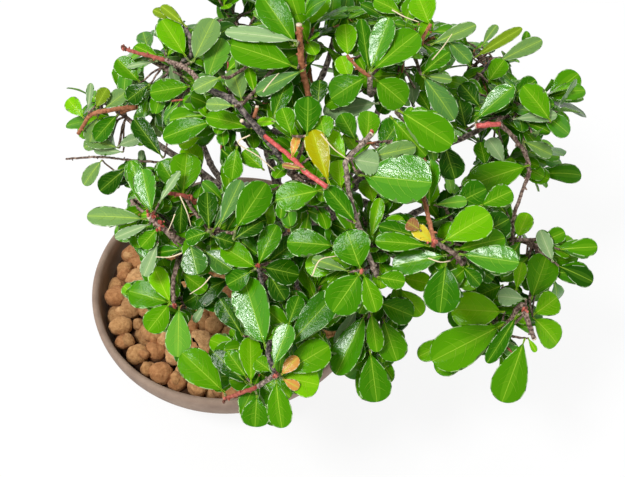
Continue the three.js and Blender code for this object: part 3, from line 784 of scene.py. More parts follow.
def to_pixels(points):
    """Pixel column, pixel row and depth of points"""
    offset = points - CAMERA_TARGET
    depth = CAMERA_DISTANCE - offset @ VIEW_BACK
    column = IMAGE_WIDTH / 2 + FOCAL_PIXELS * (offset @ VIEW_RIGHT) / depth
    row = IMAGE_HEIGHT / 2 - FOCAL_PIXELS * (offset @ VIEW_UP) / depth
    return column, row, depth


def at_pixel(column, row, depth):
    """The point at a pixel and depth"""
    right = (column - IMAGE_WIDTH / 2) / FOCAL_PIXELS * depth
    up = (IMAGE_HEIGHT / 2 - row) / FOCAL_PIXELS * depth
    return CAMERA_PLACE - VIEW_BACK * depth + VIEW_RIGHT * right + VIEW_UP * up


def mass_depth(mass):
    """The depth of a mass's middle"""
    middle = np.array(MASSES[mass][0], float)
    return CAMERA_DISTANCE - (middle - CAMERA_TARGET) @ VIEW_BACK


class Limb:
    """A tapering limb along a curve with a slight wave"""

    def __init__(self, points, radii, wave=0.0, phase=0.0):
        self.controls = np.array(points, float)
        self.radii = radii
        self.wave = wave
        self.phase = phase
        along = unit(self.controls[3] - self.controls[0])
        self.sideways = square_to(along)
        self.upward = np.cross(self.sideways, along)

    def points(self, shares):
        s = np.atleast_1d(np.asarray(shares, float))[:, None]
        a, b, c, d = self.controls
        curve = (1 - s) ** 3 * a + 3 * s * (1 - s) ** 2 * b + 3 * s ** 2 * (1 - s) * c + s ** 3 * d
        swing = self.wave * np.sin(math.pi * s)
        curve = curve + self.sideways * swing * np.sin(WAVE_TURNS[0] * s + self.phase)
        return curve + self.upward * swing * np.cos(WAVE_TURNS[1] * s + self.phase)

    def point(self, share):
        return self.points([share])[0]

    def heart(self, share, steps):
        """A point of the middle line, straight between steps as in the part's source"""
        ring = min(steps - 1, math.floor(share * steps))
        start, end = self.points([ring / steps, (ring + 1) / steps])
        return mix(start, end, share * steps - ring)

    def tangent(self, share):
        step = 0.01
        start, end = self.points([max(0, share - step), min(1, share + step)])
        return unit(end - start)

    def radius(self, share):
        return mix(self.radii[0], self.radii[1], share)


def trunk_limb():
    foot = np.array([*TRUNK_BASE, SOIL_Z])
    tip = np.array(TRUNK_TIP)
    rise = np.array([0.0, 0.0, TRUNK_RISE * (tip[2] - foot[2])])
    return Limb([foot, foot + rise, tip - rise + TRUNK_LEAN, tip], TRUNK_RADII)


def bough_limb(name, parent, at, phase):
    middle = np.array(MASSES[name][0], float)
    reach = MASSES[name][1]
    leader = at == 1
    main = parent is trunk
    start = parent.heart(at, TRUNK_STEPS if main else BOUGH_STEPS)
    leaving = parent.tangent(at)
    span = np.linalg.norm(middle - start)
    towards = unit(middle - start)
    direction = leaving if leader else unit(leaving + 1.4 * towards)
    entry = unit(unit(middle - CROWN_HEART) + 1.2 * towards + 0.5 * UP)
    tip = middle - entry * reach * BOUGH_END
    if leader:
        start = start + leaving * SEAT_GAP
    controls = [start, start + direction * span * BOUGH_BEND, tip - entry * span * BOUGH_BEND, tip]
    radii = (MAIN_RADIUS if main else SIDE_RADIUS, BOUGH_TIP_RADIUS)
    return Limb(controls, radii, 0.0 if leader else BOUGH_WAVE, phase)


def stem_limb(bough, middle, reach):
    heading = bough.tangent(1)
    start = bough.point(1)
    end = middle + heading * reach * STEM_END
    return Limb([start, start + heading * STEM_START, end - heading * STEM_START, end], STEM_RADII)


trunk = trunk_limb()
limbs = {"trunk": trunk}
for place, (name, parent, at) in enumerate(BOUGHS):
    limbs[name] = bough_limb(name, limbs[parent], at, place * BOUGH_PHASE_STEP)
stems = {
    name: stem_limb(limbs[name], np.array(middle, float), reach)
    for name, (middle, reach) in MASSES.items()
}
MIDDLES = np.array([middle for middle, _ in MASSES.values()], float)
REACHES = np.array([reach for _, reach in MASSES.values()], float)
NAMES = list(MASSES)


class Pile:
    """Triangles that are gathered and then built as one object"""

    def __init__(self):
        self.points = []
        self.faces = []
        self.slots = []
        self.count = 0

    def add(self, points, faces, slots):
        self.points.append(np.asarray(points, float))
        self.faces.append(np.asarray(faces, int) + self.count)
        self.slots.append(np.broadcast_to(slots, len(faces)))
        self.count += len(points)

    def build(self, name, materials, slot, replaced=()):
        points = np.concatenate(self.points) * MM
        faces = np.concatenate(self.faces)
        mesh = bpy.data.meshes.new(name)
        mesh.vertices.add(len(points))
        mesh.vertices.foreach_set("co", points.ravel())
        mesh.loops.add(faces.size)
        mesh.loops.foreach_set("vertex_index", faces.ravel())
        mesh.polygons.add(len(faces))
        mesh.polygons.foreach_set("loop_start", np.arange(0, faces.size, 3))
        mesh.polygons.foreach_set("material_index", np.concatenate(self.slots))
        for material in materials:
            mesh.materials.append(material)
        mesh.update(calc_edges=True)
        mesh.validate()
        mesh.polygons.foreach_set("use_smooth", np.ones(len(mesh.polygons), bool))
        piece = bpy.data.objects.new(name, mesh)
        bpy.context.collection.objects.link(piece)
        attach(piece, "root")
        if replaced:
            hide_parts(*replaced)
        return piece


# Materials
def linear(colour):
    channels = []
    for value in colour:
        share = value / 255
        channels.append(share / 12.92 if share <= 0.04045 else ((share + 0.055) / 1.055) ** 2.4)
    return (*channels, 1.0)


def blend_colours(one, other, share):
    return tuple(mix(a, b, share) for a, b in zip(one, other))


def plain_material(name, colour, roughness, specular=0.5):
    material = bpy.data.materials.new(name)
    material.use_nodes = True
    shader = material.node_tree.nodes["Principled BSDF"]
    shader.inputs["Base Color"].default_value = linear(colour)
    shader.inputs["Roughness"].default_value = roughness
    shader.inputs["Specular IOR Level"].default_value = specular
    return material


def add_relief(material, fineness, detail, strength, depth):
    """Fine unevenness; the noise that makes it is given back"""
    nodes = material.node_tree.nodes
    links = material.node_tree.links
    place = nodes.new("ShaderNodeTexCoord")
    noise = nodes.new("ShaderNodeTexNoise")
    noise.inputs["Scale"].default_value = fineness
    noise.inputs["Detail"].default_value = detail
    relief = nodes.new("ShaderNodeBump")
    relief.inputs["Strength"].default_value = strength
    relief.inputs["Distance"].default_value = depth * MM
    links.new(place.outputs["Object"], noise.inputs["Vector"])
    links.new(noise.outputs["Fac"], relief.inputs["Height"])
    links.new(relief.outputs["Normal"], nodes["Principled BSDF"].inputs["Normal"])
    return noise


def mottled_material(name, colours, roughness, fineness, detail, strength, depth, edges=(0.34, 0.68)):
    """A dark and a light colour mixed by noise, with relief of the same noise"""
    material = plain_material(name, colours[0], roughness)
    nodes = material.node_tree.nodes
    links = material.node_tree.links
    noise = add_relief(material, fineness, detail, strength, depth)
    noise.inputs["Roughness"].default_value = 0.62
    ramp = nodes.new("ShaderNodeValToRGB")
    for element, edge, colour in zip(ramp.color_ramp.elements, edges, colours):
        element.position = edge
        element.color = linear(colour)
    links.new(noise.outputs["Fac"], ramp.inputs["Fac"])
    links.new(ramp.outputs["Color"], nodes["Principled BSDF"].inputs["Base Color"])
    return material


def bark_material(name, colour):
    """Young bark is smoother, with fainter flecks"""
    crack, fleck, strength = YOUNG_LOOK if name in YOUNG_BARKS else OLD_LOOK
    colours = (blend_colours(colour, BARK_CRACK, crack), blend_colours(colour, BARK_FLECK, fleck))
    roughness = 0.4 if name == "pink" else 0.7
    return mottled_material(f"bark_{name}", colours, roughness=roughness, fineness=BARK_FINENESS,
                            detail=6, strength=strength, depth=0.3, edges=(0.44, 0.64))


bark_materials = {name: bark_material(name, colour) for name, colour in BARKS.items()}
BARK_ORDER = list(BARKS)


# Tubes for limbs and twigs
def ring_faces(rings, sides):
    """Faces of a stack of rings, closed by its first and last middle, which are two more points"""
    faces = []
    for ring in range(rings - 1):
        for side in range(sides):
            a = ring * sides + side
            b = ring * sides + (side + 1) % sides
            faces += [(a, b, b + sides), (a, b + sides, a + sides)]
    first = rings * sides
    last = first + 1
    for side in range(sides):
        following = (side + 1) % sides
        faces += [(first, following, side), (last, first - sides + side, first - sides + following)]
    return faces


def ring_angles(sides):
    return np.arange(sides) * 2 * math.pi / sides


def level_ring(radius, z, sides):
    """Points of a level circle, whose radius may differ round it"""
    angles = ring_angles(sides)
    return np.column_stack([radius * np.cos(angles), radius * np.sin(angles), np.full(sides, z)])


def tube(pile, path, radii, sides, slot, relief=None):
    """A round limb along a path, its radii multiplied by the relief of its bark"""
    path = np.asarray(path, float)
    count = len(path)
    tangents = np.gradient(path, axis=0)
    tangents /= np.linalg.norm(tangents, axis=1, keepdims=True)
    across = square_to(tangents[0])
    rings = []
    angles = ring_angles(sides)
    for ring in range(count):
        across = unit(across - tangents[ring] * (across @ tangents[ring]))
        other = np.cross(tangents[ring], across)
        radius = np.full(sides, radii[ring])
        if relief is not None:
            radius = radius * relief[ring]
        circle = np.outer(radius * np.cos(angles), across) + np.outer(radius * np.sin(angles), other)
        rings.append(path[ring] + circle)
    pile.add(np.concatenate(rings + [path[:1], path[-1:]]), ring_faces(count, sides), slot)


def bark_relief(rings, sides, seed, strength, knot_every):
    """Ridges along the bark, with a raised ring at each old leaf scar"""
    draw = np.random.default_rng(seed)
    rough = draw.normal(0, 1, (rings, sides))
    for _ in range(2):
        rough = (rough + np.roll(rough, 1, axis=0) + np.roll(rough, -1, axis=0)) / 3
    rough = (rough * 2 + np.roll(rough, 1, axis=1)) / 3
    relief = 1 + strength * rough
    knot = int(draw.integers(2, knot_every))
    while knot < rings - 1:
        relief[knot] *= 1 + KNOT_RISE * draw.random()
        knot += int(draw.integers(max(2, knot_every // 2), knot_every + 2))
    return relief


def smooth_path(points, steps):
    """A smooth curve through a few points"""
    points = np.asarray(points, float)
    if len(points) == 2:
        return mix(points[0], points[1], np.linspace(0, 1, steps)[:, None])
    before = 2 * points[0] - points[1]
    after = 2 * points[-1] - points[-2]
    padded = np.vstack([before, points, after])
    spans = len(points) - 1
    path = []
    for share in np.linspace(0, spans, steps):
        span = min(int(share), spans - 1)
        t = share - span
        a, b, c, d = padded[span:span + 4]
        path.append(0.5 * (2 * b + (c - a) * t + (2 * a - 5 * b + 4 * c - d) * t ** 2
                           + (3 * b - a - 3 * c + d) * t ** 3))
    return np.array(path)


# Leaves, in millimetres or in shares of their length
RIM_BAND = 0.38
RIB_HALF = 0.25
LEAF_THICK = 0.35
PETIOLE_END = 0.1
PETIOLE_HALF = (0.5, 0.3)
BLUNT_END = 0.0012
OUTLINE_SHARES = np.array([0.3, 0.5, 0.7, 0.88, 1.0])
OUTLINE_END = 0.97
SPREAD_SHARES = np.linspace(0.12, 0.99, 12)
SPREAD_SIDES = np.linspace(-0.95, 0.95, 7)

# Ranges of a leaf's bend, the first ones for leaves that show plainly
SHOWN_FOLD = (0.1, 0.24)
SHOWN_ARCH = (0.01, 0.06)
SHOWN_RIPPLE = (0.0, 0.007)
FOLD = (0.05, 0.28)
ARCH = (0.02, 0.1)
RIPPLE = (0.0, 0.016)
DROOP = (-0.02, 0.12)
CURL = (0.012, 0.022)
RIPPLE_TURNS = (2.0, 3.4)
TAPER = (0.62, 0.86)
BLUNTNESS = (1.5, 2.3)
GLOSS_BEND = 0.005
GLOSS_RIPPLE = 0.004

# Teeth, pucker and side veins, in shares of the leaf or in millimetres
TOOTH = 0.02
FIRST_TOOTH = 0.35
RIM_SHARE = 0.86
RIM_PUCKER = 0.4
PUCKER = 0.07
RIB_RISE = 0.08
RIB_TIP = 0.1
VEINED_WIDTH = 6.0
VEIN_STARTS = (0.2, 0.36, 0.52, 0.66)
VEIN_REACH = np.array([0.0, 0.34, 0.6, 0.8])
VEIN_RISE = np.array([0.0, 0.06, 0.14, 0.24])
VEIN_HALF = np.array([0.12, 0.1, 0.075, 0.03])
VEIN_LIFT = 0.18
VEIN_SHIFT = (-0.045, 0.045)
VEIN_LENGTH = (0.75, 1.02)
VEIN_BEND = (0.8, 1.25)
VEIN_WIDTH = (0.7, 1.2)
UPPER, UNDER, RIB, RIM, VEIN, INNER = range(6)
PEAK_SHARES = np.linspace(0, 1, 60)


class LeafGrid:
    """The mesh of a leaf: shares along it, shares across it, and its faces"""

    def __init__(self, stations, columns):
        self.shares = np.sin(np.linspace(0, 1, stations) * math.pi / 2) ** 1.06
        self.columns = np.array(columns)
        self.stations = stations
        self.count = len(columns)
        self.middle = self.count // 2 - 1
        faces = []
        slots = []
        for row in range(stations - 1):
            for column in range(self.count - 1):
                a = row * self.count + column
                b = a + self.count
                faces += [(a, a + 1, b + 1), (a, b + 1, b)]
                slots += [self.slot_at(row, column)] * 2
        under = stations * self.count
        for row in range(stations - 1):
            left, right = row * self.count, row * self.count + self.count - 1
            middle, following = under + row, under + row + 1
            faces += [(left, following, middle), (left, left + self.count, following)]
            faces += [(middle, right + self.count, right), (middle, following, right + self.count)]
            slots += [UNDER] * 4
        self.faces = np.array(faces)
        self.slots = np.array(slots)

    def slot_at(self, row, column):
        if self.shares[row + 1] < PETIOLE_END + 0.02 or column == self.middle:
            return RIB
        # The rim band in dashes: partly the paler margin, partly a painted highlight sparkling along the
        # teeth
        if column in (0, self.count - 2) and row > 1:
            return UPPER if row % 3 == 1 else RIM
        return INNER if abs(column - self.middle) == 1 else UPPER


FINE_GRID = LeafGrid(16, (-1, -0.95, -0.64, -0.3, -0.05, 0.05, 0.3, 0.64, 0.95, 1))
PLAIN_GRID = LeafGrid(10, (-1, -0.94, -0.4, -0.05, 0.05, 0.4, 0.94, 1))
VEIN_FACES = np.array([(0, 3, 1), (0, 2, 3), (2, 5, 3), (2, 4, 5), (4, 7, 5), (4, 6, 7)])


class Leaf:
    """A leaf's place, size and bend; its blade is worked out from these"""

    def __init__(self, root, along, normal, length, width, tint, draw, grid=PLAIN_GRID):
        shown = grid is FINE_GRID
        self.root = root
        self.along = unit(along)
        self.normal = unit(normal - self.along * (normal @ self.along))
        self.across = np.cross(self.along, self.normal)
        self.length = length
        self.width = width
        self.tint = tint
        self.grid = grid
        self.fold = draw.uniform(*(SHOWN_FOLD if shown else FOLD))
        self.arch = draw.uniform(*(SHOWN_ARCH if shown else ARCH))
        self.droop = 0.0 if shown else draw.uniform(*DROOP)
        self.curl = draw.uniform(*CURL)
        self.ripple = draw.uniform(*(SHOWN_RIPPLE if shown else RIPPLE))
        self.ripple_turns = draw.uniform(*RIPPLE_TURNS)
        self.phase = draw.uniform(0, FULL_TURN)
        self.taper = draw.uniform(*TAPER)
        self.blunt = draw.uniform(*BLUNTNESS)
        self.seed = draw.randrange(MOST_SEED)
        if shown and tint in GLOSS_TINTS:
            self.arch = GLOSS_BEND
            self.curl = GLOSS_BEND
            self.ripple = GLOSS_RIPPLE
        self.highest = np.max(PEAK_SHARES ** self.taper * np.sqrt(1 - PEAK_SHARES ** self.blunt))

    def half_width(self, share):
        inner = np.clip((share - PETIOLE_END) / (1 - PETIOLE_END), 0, 1)
        blunt = np.sqrt(np.maximum(BLUNT_END, 1 - inner ** self.blunt))
        blade = inner ** self.taper * blunt / self.highest
        petiole = mix(*PETIOLE_HALF, np.clip(share / PETIOLE_END, 0, 1))
        return np.maximum(0.5 * self.width * blade, petiole)

    def surface(self, share, side):
        """Points of the upper face, side in millimetres from the midrib"""
        rise = self.arch * self.length * 4 * share * (1 - share) - self.droop * self.length * share ** 2
        lift = self.fold * np.abs(side) * np.clip(share * 3, 0, 1)
        lift = lift - self.curl * side ** 2
        edge = (np.abs(side) / (0.5 * self.width)) ** 2
        wave = np.sin(self.ripple_turns * FULL_TURN * share + self.phase)
        lift = lift + self.ripple * self.length * edge * wave
        y = self.length * share
        return (self.root + np.multiply.outer(side, self.across) + np.multiply.outer(y, self.along)
                + np.multiply.outer(rise + lift, self.normal))

    def outline(self):
        """Lines round and along the blade, to test that leaves don't cross"""
        half = self.half_width(np.minimum(OUTLINE_SHARES, OUTLINE_END))
        left = self.surface(OUTLINE_SHARES, -half)
        right = self.surface(OUTLINE_SHARES, half)
        middle = self.surface(OUTLINE_SHARES, np.zeros(len(OUTLINE_SHARES)))
        return np.vstack([left, right[::-1], middle])

    def spread(self):
        """Points all over the blade"""
        shares = SPREAD_SHARES[:, None] * np.ones(len(SPREAD_SIDES))
        half = self.half_width(SPREAD_SHARES)
        return self.surface(shares, half[:, None] * SPREAD_SIDES[None, :]).reshape(-1, 3)

    def add_to(self, pile):
        draw = np.random.default_rng(self.seed)
        grid = self.grid
        share = grid.shares[:, None] * np.ones(grid.count)
        half = self.half_width(grid.shares)
        teeth = np.where(np.arange(grid.stations) % 2 == 0, 0.0, TOOTH) * (grid.shares > FIRST_TOOTH)
        half = half * (1 - teeth)
        side = grid.columns[None, :] * half[:, None]
        band = np.maximum(half - RIM_BAND, half * RIM_SHARE)
        side[:, 1] = -band
        side[:, -2] = band
        rib = np.minimum(mix(RIB_HALF, RIB_TIP, grid.shares), half * 0.5)
        side[:, grid.middle] = -rib
        side[:, grid.middle + 1] = rib
        top = self.surface(share, side)
        pucker = draw.normal(0, PUCKER, side.shape)
        pucker[:, grid.middle:grid.middle + 2] = RIB_RISE
        pucker[:, [0, -1]] *= RIM_PUCKER
        pucker[:3] = 0
        top = top + np.multiply.outer(pucker, self.normal)
        under = self.surface(grid.shares, np.zeros(grid.stations)) - self.normal * LEAF_THICK
        pile.add(np.vstack([top.reshape(-1, 3), under]), grid.faces, grid.slots)
        if grid is FINE_GRID and self.width > VEINED_WIDTH:
            self.add_veins(pile, draw)

    def add_veins(self, pile, draw):
        """Thin raised side veins that curve towards the tip"""
        for hand in (-1, 1):
            for start in VEIN_STARTS:
                start = start + draw.uniform(*VEIN_SHIFT)
                reach = VEIN_REACH * draw.uniform(*VEIN_LENGTH)
                bend = draw.uniform(*VEIN_BEND) * (1.2 - start * 0.6)
                share = start + VEIN_RISE * bend
                side = hand * reach * self.half_width(share)
                thin = VEIN_HALF * draw.uniform(*VEIN_WIDTH)
                one = self.surface(share - thin / self.length, side) + self.normal * VEIN_LIFT
                two = self.surface(share + thin / self.length, side) + self.normal * VEIN_LIFT
                strip = np.empty((2 * len(share), 3))
                strip[0::2] = one if hand > 0 else two
                strip[1::2] = two if hand > 0 else one
                pile.add(strip, VEIN_FACES, VEIN)


# The crown: where leaves may grow, in pixels and millimetres
MARGIN = 120
MOST_LEAVES = 6000
NOTHING_SHOWN = 1e9
KEEP_REACH = 3
FINER_PATH = 4
DEPTH_SLACK = 1.5
MOST_HIDDEN = 0.02
MOST_OPEN = 0.05
MOST_BARRED = 0.06
NEIGHBOUR_REACH = 34.0
BLADE_START = 0.16
BLADE_MIDDLE = 0.58
BLADE_SPREAD = 0.19


class Crown:
    """Every leaf of the plant, with the tests that keep them apart"""

    def __init__(self):
        self.leaves = []
        self.frames = np.zeros((MOST_LEAVES, 4, 3))
        self.sizes = np.zeros((MOST_LEAVES, 2))
        self.lines = np.zeros((MOST_LEAVES, 3 * len(OUTLINE_SHARES), 3))
        rows = IMAGE_HEIGHT + 2 * MARGIN
        columns = IMAGE_WIDTH + 2 * MARGIN
        self.nearest = np.full((rows, columns), NOTHING_SHOWN)
        self.open = np.zeros((rows, columns), bool)
        ys, xs = np.mgrid[0:rows, 0:columns]
        for column, row, radius in OPENINGS:
            self.open |= (xs - MARGIN - column) ** 2 + (ys - MARGIN - row) ** 2 < radius ** 2

    def pixel_cells(self, points):
        column, row, depth = to_pixels(points)
        x = np.clip(np.round(column + MARGIN).astype(int), 0, self.nearest.shape[1] - 1)
        y = np.clip(np.round(row + MARGIN).astype(int), 0, self.nearest.shape[0] - 1)
        return y, x, depth

    def keep_in_view(self, points):
        """Mark the pixels round a shown leaf or twig, which later leaves mustn't cover"""
        y, x, depth = self.pixel_cells(points)
        for dy in range(-KEEP_REACH, KEEP_REACH + 1):
            for dx in range(-KEEP_REACH, KEEP_REACH + 1):
                yy = np.clip(y + dy, 0, self.nearest.shape[0] - 1)
                xx = np.clip(x + dx, 0, self.nearest.shape[1] - 1)
                np.minimum.at(self.nearest, (yy, xx), depth)

    def bars(self, path):
        """Whether a twig would run across an opening"""
        y, x, _ = self.pixel_cells(path)
        return self.open[y, x].mean() > MOST_BARRED

    def hides(self, leaf):
        """Whether a leaf would cover an opening or what shows plainly"""
        y, x, depth = self.pixel_cells(leaf.spread())
        nearest = self.nearest[y, x]
        hidden = (depth < nearest + DEPTH_SLACK) & (nearest < NOTHING_SHOWN)
        return hidden.mean() > MOST_HIDDEN or self.open[y, x].mean() > MOST_OPEN

    def crosses(self, leaf):
        """Whether a leaf would pass through one that is there"""
        count = len(self.leaves)
        roots, alongs, acrosses, normals = (self.frames[:count, part] for part in range(4))
        sizes = self.sizes[:count]
        middle = leaf.root + leaf.along * leaf.length / 2
        near = np.linalg.norm(roots + alongs * sizes[:, :1] / 2 - middle, axis=1) < NEIGHBOUR_REACH
        if not near.any():
            return False
        lines = leaf.outline()
        starts = lines[None, :-1] - roots[near][:, None]
        ends = lines[None, 1:] - roots[near][:, None]
        if cut_plane(starts, ends, alongs[near][:, None], acrosses[near][:, None], normals[near][:, None],
                     sizes[near][:, None]).any():
            return True
        starts = self.lines[:count][near][:, :-1] - leaf.root
        ends = self.lines[:count][near][:, 1:] - leaf.root
        size = np.array([leaf.length, leaf.width])
        return bool(cut_plane(starts, ends, leaf.along, leaf.across, leaf.normal, size).any())

    def add(self, leaf):
        index = len(self.leaves)
        self.frames[index] = (leaf.root, leaf.along, leaf.across, leaf.normal)
        self.sizes[index] = (leaf.length, leaf.width)
        self.lines[index] = leaf.outline()
        self.leaves.append(leaf)


def cut_plane(starts, ends, along, across, normal, size):
    """Whether lines pass through a leaf's blade, which is taken as flat"""
    z0 = (starts * normal).sum(-1)
    z1 = (ends * normal).sum(-1)
    share = np.where(z0 * z1 < 0, z0 / np.where(z0 == z1, 1, z0 - z1), 0)
    hit = starts + (ends - starts) * share[..., None]
    length = size[..., 0]
    width = size[..., 1]
    y = (hit * along).sum(-1) / length
    x = (hit * across).sum(-1) / (0.5 * width)
    inside = (y - BLADE_MIDDLE) ** 2 / BLADE_SPREAD + x ** 2 < 1
    return (z0 * z1 < 0) & (y > BLADE_START) & inside


def in_own_space(points, mass):
    """Whether points lie in the space of a mass, which ends between it and its neighbours"""
    index = NAMES.index(mass)
    distance = np.linalg.norm(points[:, None] - MIDDLES[None], axis=2)
    too_far = distance[:, index] > REACHES[index] + SPACE_SLACK * REACH_SLACK
    if too_far.any() or (points[:, 2] < LOWEST_LEAF_Z).any():
        return False
    power = distance ** 2 - REACHES ** 2
    own = power[:, index:index + 1]
    apart = np.linalg.norm(MIDDLES - MIDDLES[index], axis=1)
    apart[index] = 1
    margin = (power - own) / (2 * apart)
    margin[:, index] = 1
    return bool((margin > -SPACE_SLACK).all())


def limb_pieces(count):
    """Starts, ends and radii of all limbs and stems, each cut into straight pieces"""
    starts = []
    ends = []
    radii = []
    for limb in [*limbs.values(), *stems.values()]:
        path = limb.points(np.linspace(0, 1, count + 1))
        starts.append(path[:-1])
        ends.append(path[1:])
        radii.append(limb.radius(np.linspace(0.06, 0.94, count)))
    return np.concatenate(starts), np.concatenate(ends), np.concatenate(radii)


PIECE_STARTS, PIECE_ENDS, PIECE_RADII = limb_pieces(8)


def clear_of_limbs(points):
    stretch = PIECE_ENDS - PIECE_STARTS
    offset = points[:, None] - PIECE_STARTS[None]
    share = np.clip((offset * stretch).sum(2) / (stretch ** 2).sum(1), 0, 1)
    gap = np.linalg.norm(offset - share[..., None] * stretch, axis=2) - PIECE_RADII
    return bool((gap > LEAF_GAP).all())


crown = Crown()
twig_pile = Pile()
cut_pile = Pile()
main_draw = random.Random(SPRAY_SEED)

# Shown leaves and twigs
KEY_DIRECTION = unit(np.array([-0.36, -0.36, 0.86]))
KEY_PLACE = CAMERA_TARGET + KEY_DISTANCE * KEY_DIRECTION
SHEEN_NORMAL = unit(VIEW_BACK + KEY_DIRECTION)
MOST_SHEEN_TILT = 9.5
NODE_HEADING = unit(VIEW_BACK + 0.4 * UP)
NODE_RADII = (0.9, 0.65)
STALK_RADII = (0.55, 0.4)
SHORT_STALK_RADII = (0.55, 0.45)
FAR_ROOT = 7.0
NEAR_ROOT = 1.2
GREEN_ROOT = 5.0
STALK_BOW = 0.45
STRAIGHT_STALK = 3.0
PUSHES = 9
PUSH_STEP = 1.3
TIP_DROP = 3.5
SHOWN_SWAY = (-0.25, 0.25)
SHOWN_TILT = (-0.12, 0.25)
TWIG_FEET = (0.35, 0.5, 0.65, 0.8, 0.95)
FOOT_RADIUS = 1.15
TWIG_RING = 1.4
TWIG_JOG = 0.1
TWIG_KNOTS = 6
TWIG_BENDS = (0.3, 0.35)
TWIG_ARRIVAL = 1.6
YOUNG_RELIEF = 0.05
OLD_RELIEF = 0.2
SPUR_SPACING = 4.2
SPUR_POINTS = 4
SPUR_SIZES = (0.5, 1.1)
SPUR_TAPER = np.array([0.62, 0.5, 0.22])
CUT_SPREAD = (1.06, 0.98)
CUT_SUNK = 0.2
CUT_RISE = 0.5


def spot(mass, pixel):
    """The point that shows at a pixel, standing out of a mass towards the viewer"""
    column, row, out = pixel
    return at_pixel(column, row, mass_depth(mass) - out)


def path_length(path):
    return np.linalg.norm(np.diff(path, axis=0), axis=1).sum()


def end_heading(path, end):
    """The way out of a path at its first or last point"""
    return unit(path[end] - path[1 if end == FIRST else -2])


def add_twig(path, radii, kind, sides=8, relief=YOUNG_RELIEF):
    """A slightly crooked twig; its curve is given back"""
    count = max(6, int(path_length(path) / TWIG_RING))
    curve = smooth_path(path, count)
    jog = np.random.default_rng(main_draw.randrange(MOST_SEED)).normal(0, TWIG_JOG, curve.shape)
    jog[[0, -1]] = 0
    curve = curve + jog
    width = np.linspace(radii[0], radii[1], count)
    bark = bark_relief(count, sides, main_draw.randrange(MOST_SEED), relief, TWIG_KNOTS)
    tube(twig_pile, curve, width, sides, BARK_ORDER.index(kind), bark)
    return curve


def carrying_twig(mass, end, heading, radii, kind):
    """A twig from the mass's stem to a point, arriving along a heading"""
    stem = stems[mass]
    share = min(TWIG_FEET, key=lambda place: np.linalg.norm(stem.heart(place, STEM_STEPS) - end))
    start = stem.heart(share, STEM_STEPS)
    reach = np.linalg.norm(end - start)
    leaving = start + stem.tangent(share) * reach * TWIG_BENDS[0]
    limb = Limb([start, leaving, end - heading * reach * TWIG_BENDS[1], end], radii)
    add_twig(limb.points(np.linspace(0, 1, 7)), radii, kind, sides=7)


def shown_leaf(mass, out, row, push):
    """A leaf between two pixels, pushed back from the viewer"""
    root_column, root_row, tip_column, tip_row, width, tint = row
    depth = mass_depth(mass) - out + push
    root = at_pixel(root_column, root_row, depth)
    tip = at_pixel(tip_column, tip_row, depth + main_draw.uniform(0.0, TIP_DROP))
    facing = 0.85 * VIEW_BACK + 0.3 * UP
    facing = facing + VIEW_RIGHT * main_draw.uniform(*SHOWN_SWAY)
    facing = facing + VIEW_UP * main_draw.uniform(*SHOWN_TILT)
    if tint in GLOSS_TINTS:
        facing = unit(unit(CAMERA_PLACE - root) + unit(KEY_PLACE - root) + SHEEN_NORMAL)
        tilt = (tip - root) @ facing / (VIEW_BACK @ facing)
        tip = tip - VIEW_BACK * np.clip(tilt, -MOST_SHEEN_TILT, MOST_SHEEN_TILT)
    leaf = Leaf(root, tip - root, facing, np.linalg.norm(tip - root), width, tint, main_draw, FINE_GRID)
    if tint in GLOSS_TINTS:
        half = leaf.across if leaf.across @ (VIEW_UP - VIEW_RIGHT) > 0 else -leaf.across
        leaf.normal = unit(leaf.normal + half * leaf.fold)
        leaf.across = np.cross(leaf.along, leaf.normal)
    return leaf


def grow_sprays():
    """The sprays that show plainly, each on a twig of its own"""
    for name, (mass, out, node, rows) in SPRAYS.items():
        heart = spot(mass, (*node, out - 1))
        roots = []
        for order, row in enumerate(rows):
            state = main_draw.getstate()
            for push in range(PUSHES):
                main_draw.setstate(state)
                leaf = shown_leaf(mass, out, row, PUSH_STEP * (order + push))
                if not crown.crosses(leaf):
                    break
            crown.add(leaf)
            crown.keep_in_view(leaf.spread())
            roots.append(leaf.root)
        if name not in ON_TWIGS:
            carrying_twig(mass, heart, NODE_HEADING, NODE_RADII, "brown")
        for root in roots:
            distance = np.linalg.norm(root - heart)
            if distance > FAR_ROOT:
                carrying_twig(mass, root, NODE_HEADING, STALK_RADII, "brown")
            elif distance > NEAR_ROOT:
                bend = mix(heart, root, 0.5) - VIEW_BACK * max(0, STALK_BOW * (distance - STRAIGHT_STALK))
                kind = "green" if distance < GREEN_ROOT else "brown"
                add_twig(np.array([heart, bend, root]), SHORT_STALK_RADII, kind, 6)


def add_spurs(path, radii, kind):
    """Short stubs of old shoots along a twig"""
    count = int(path_length(path) / SPUR_SPACING)
    curve = smooth_path(path, SPUR_POINTS * count + 3)
    for index in range(count):
        place = SPUR_POINTS * index + 3
        heading = unit(curve[place + 1] - curve[place - 1])
        outward = around(heading, index * GOLDEN_TURN)
        radius = mix(*radii, index / count)
        size = main_draw.uniform(*SPUR_SIZES)
        tip = curve[place] + outward * (radius + size) + heading * size * 0.7
        ends = np.array([curve[place] + outward * radius * 0.4, mix(curve[place], tip, 0.75), tip])
        tube(twig_pile, ends, radius * SPUR_TAPER, 6, BARK_ORDER.index(kind))


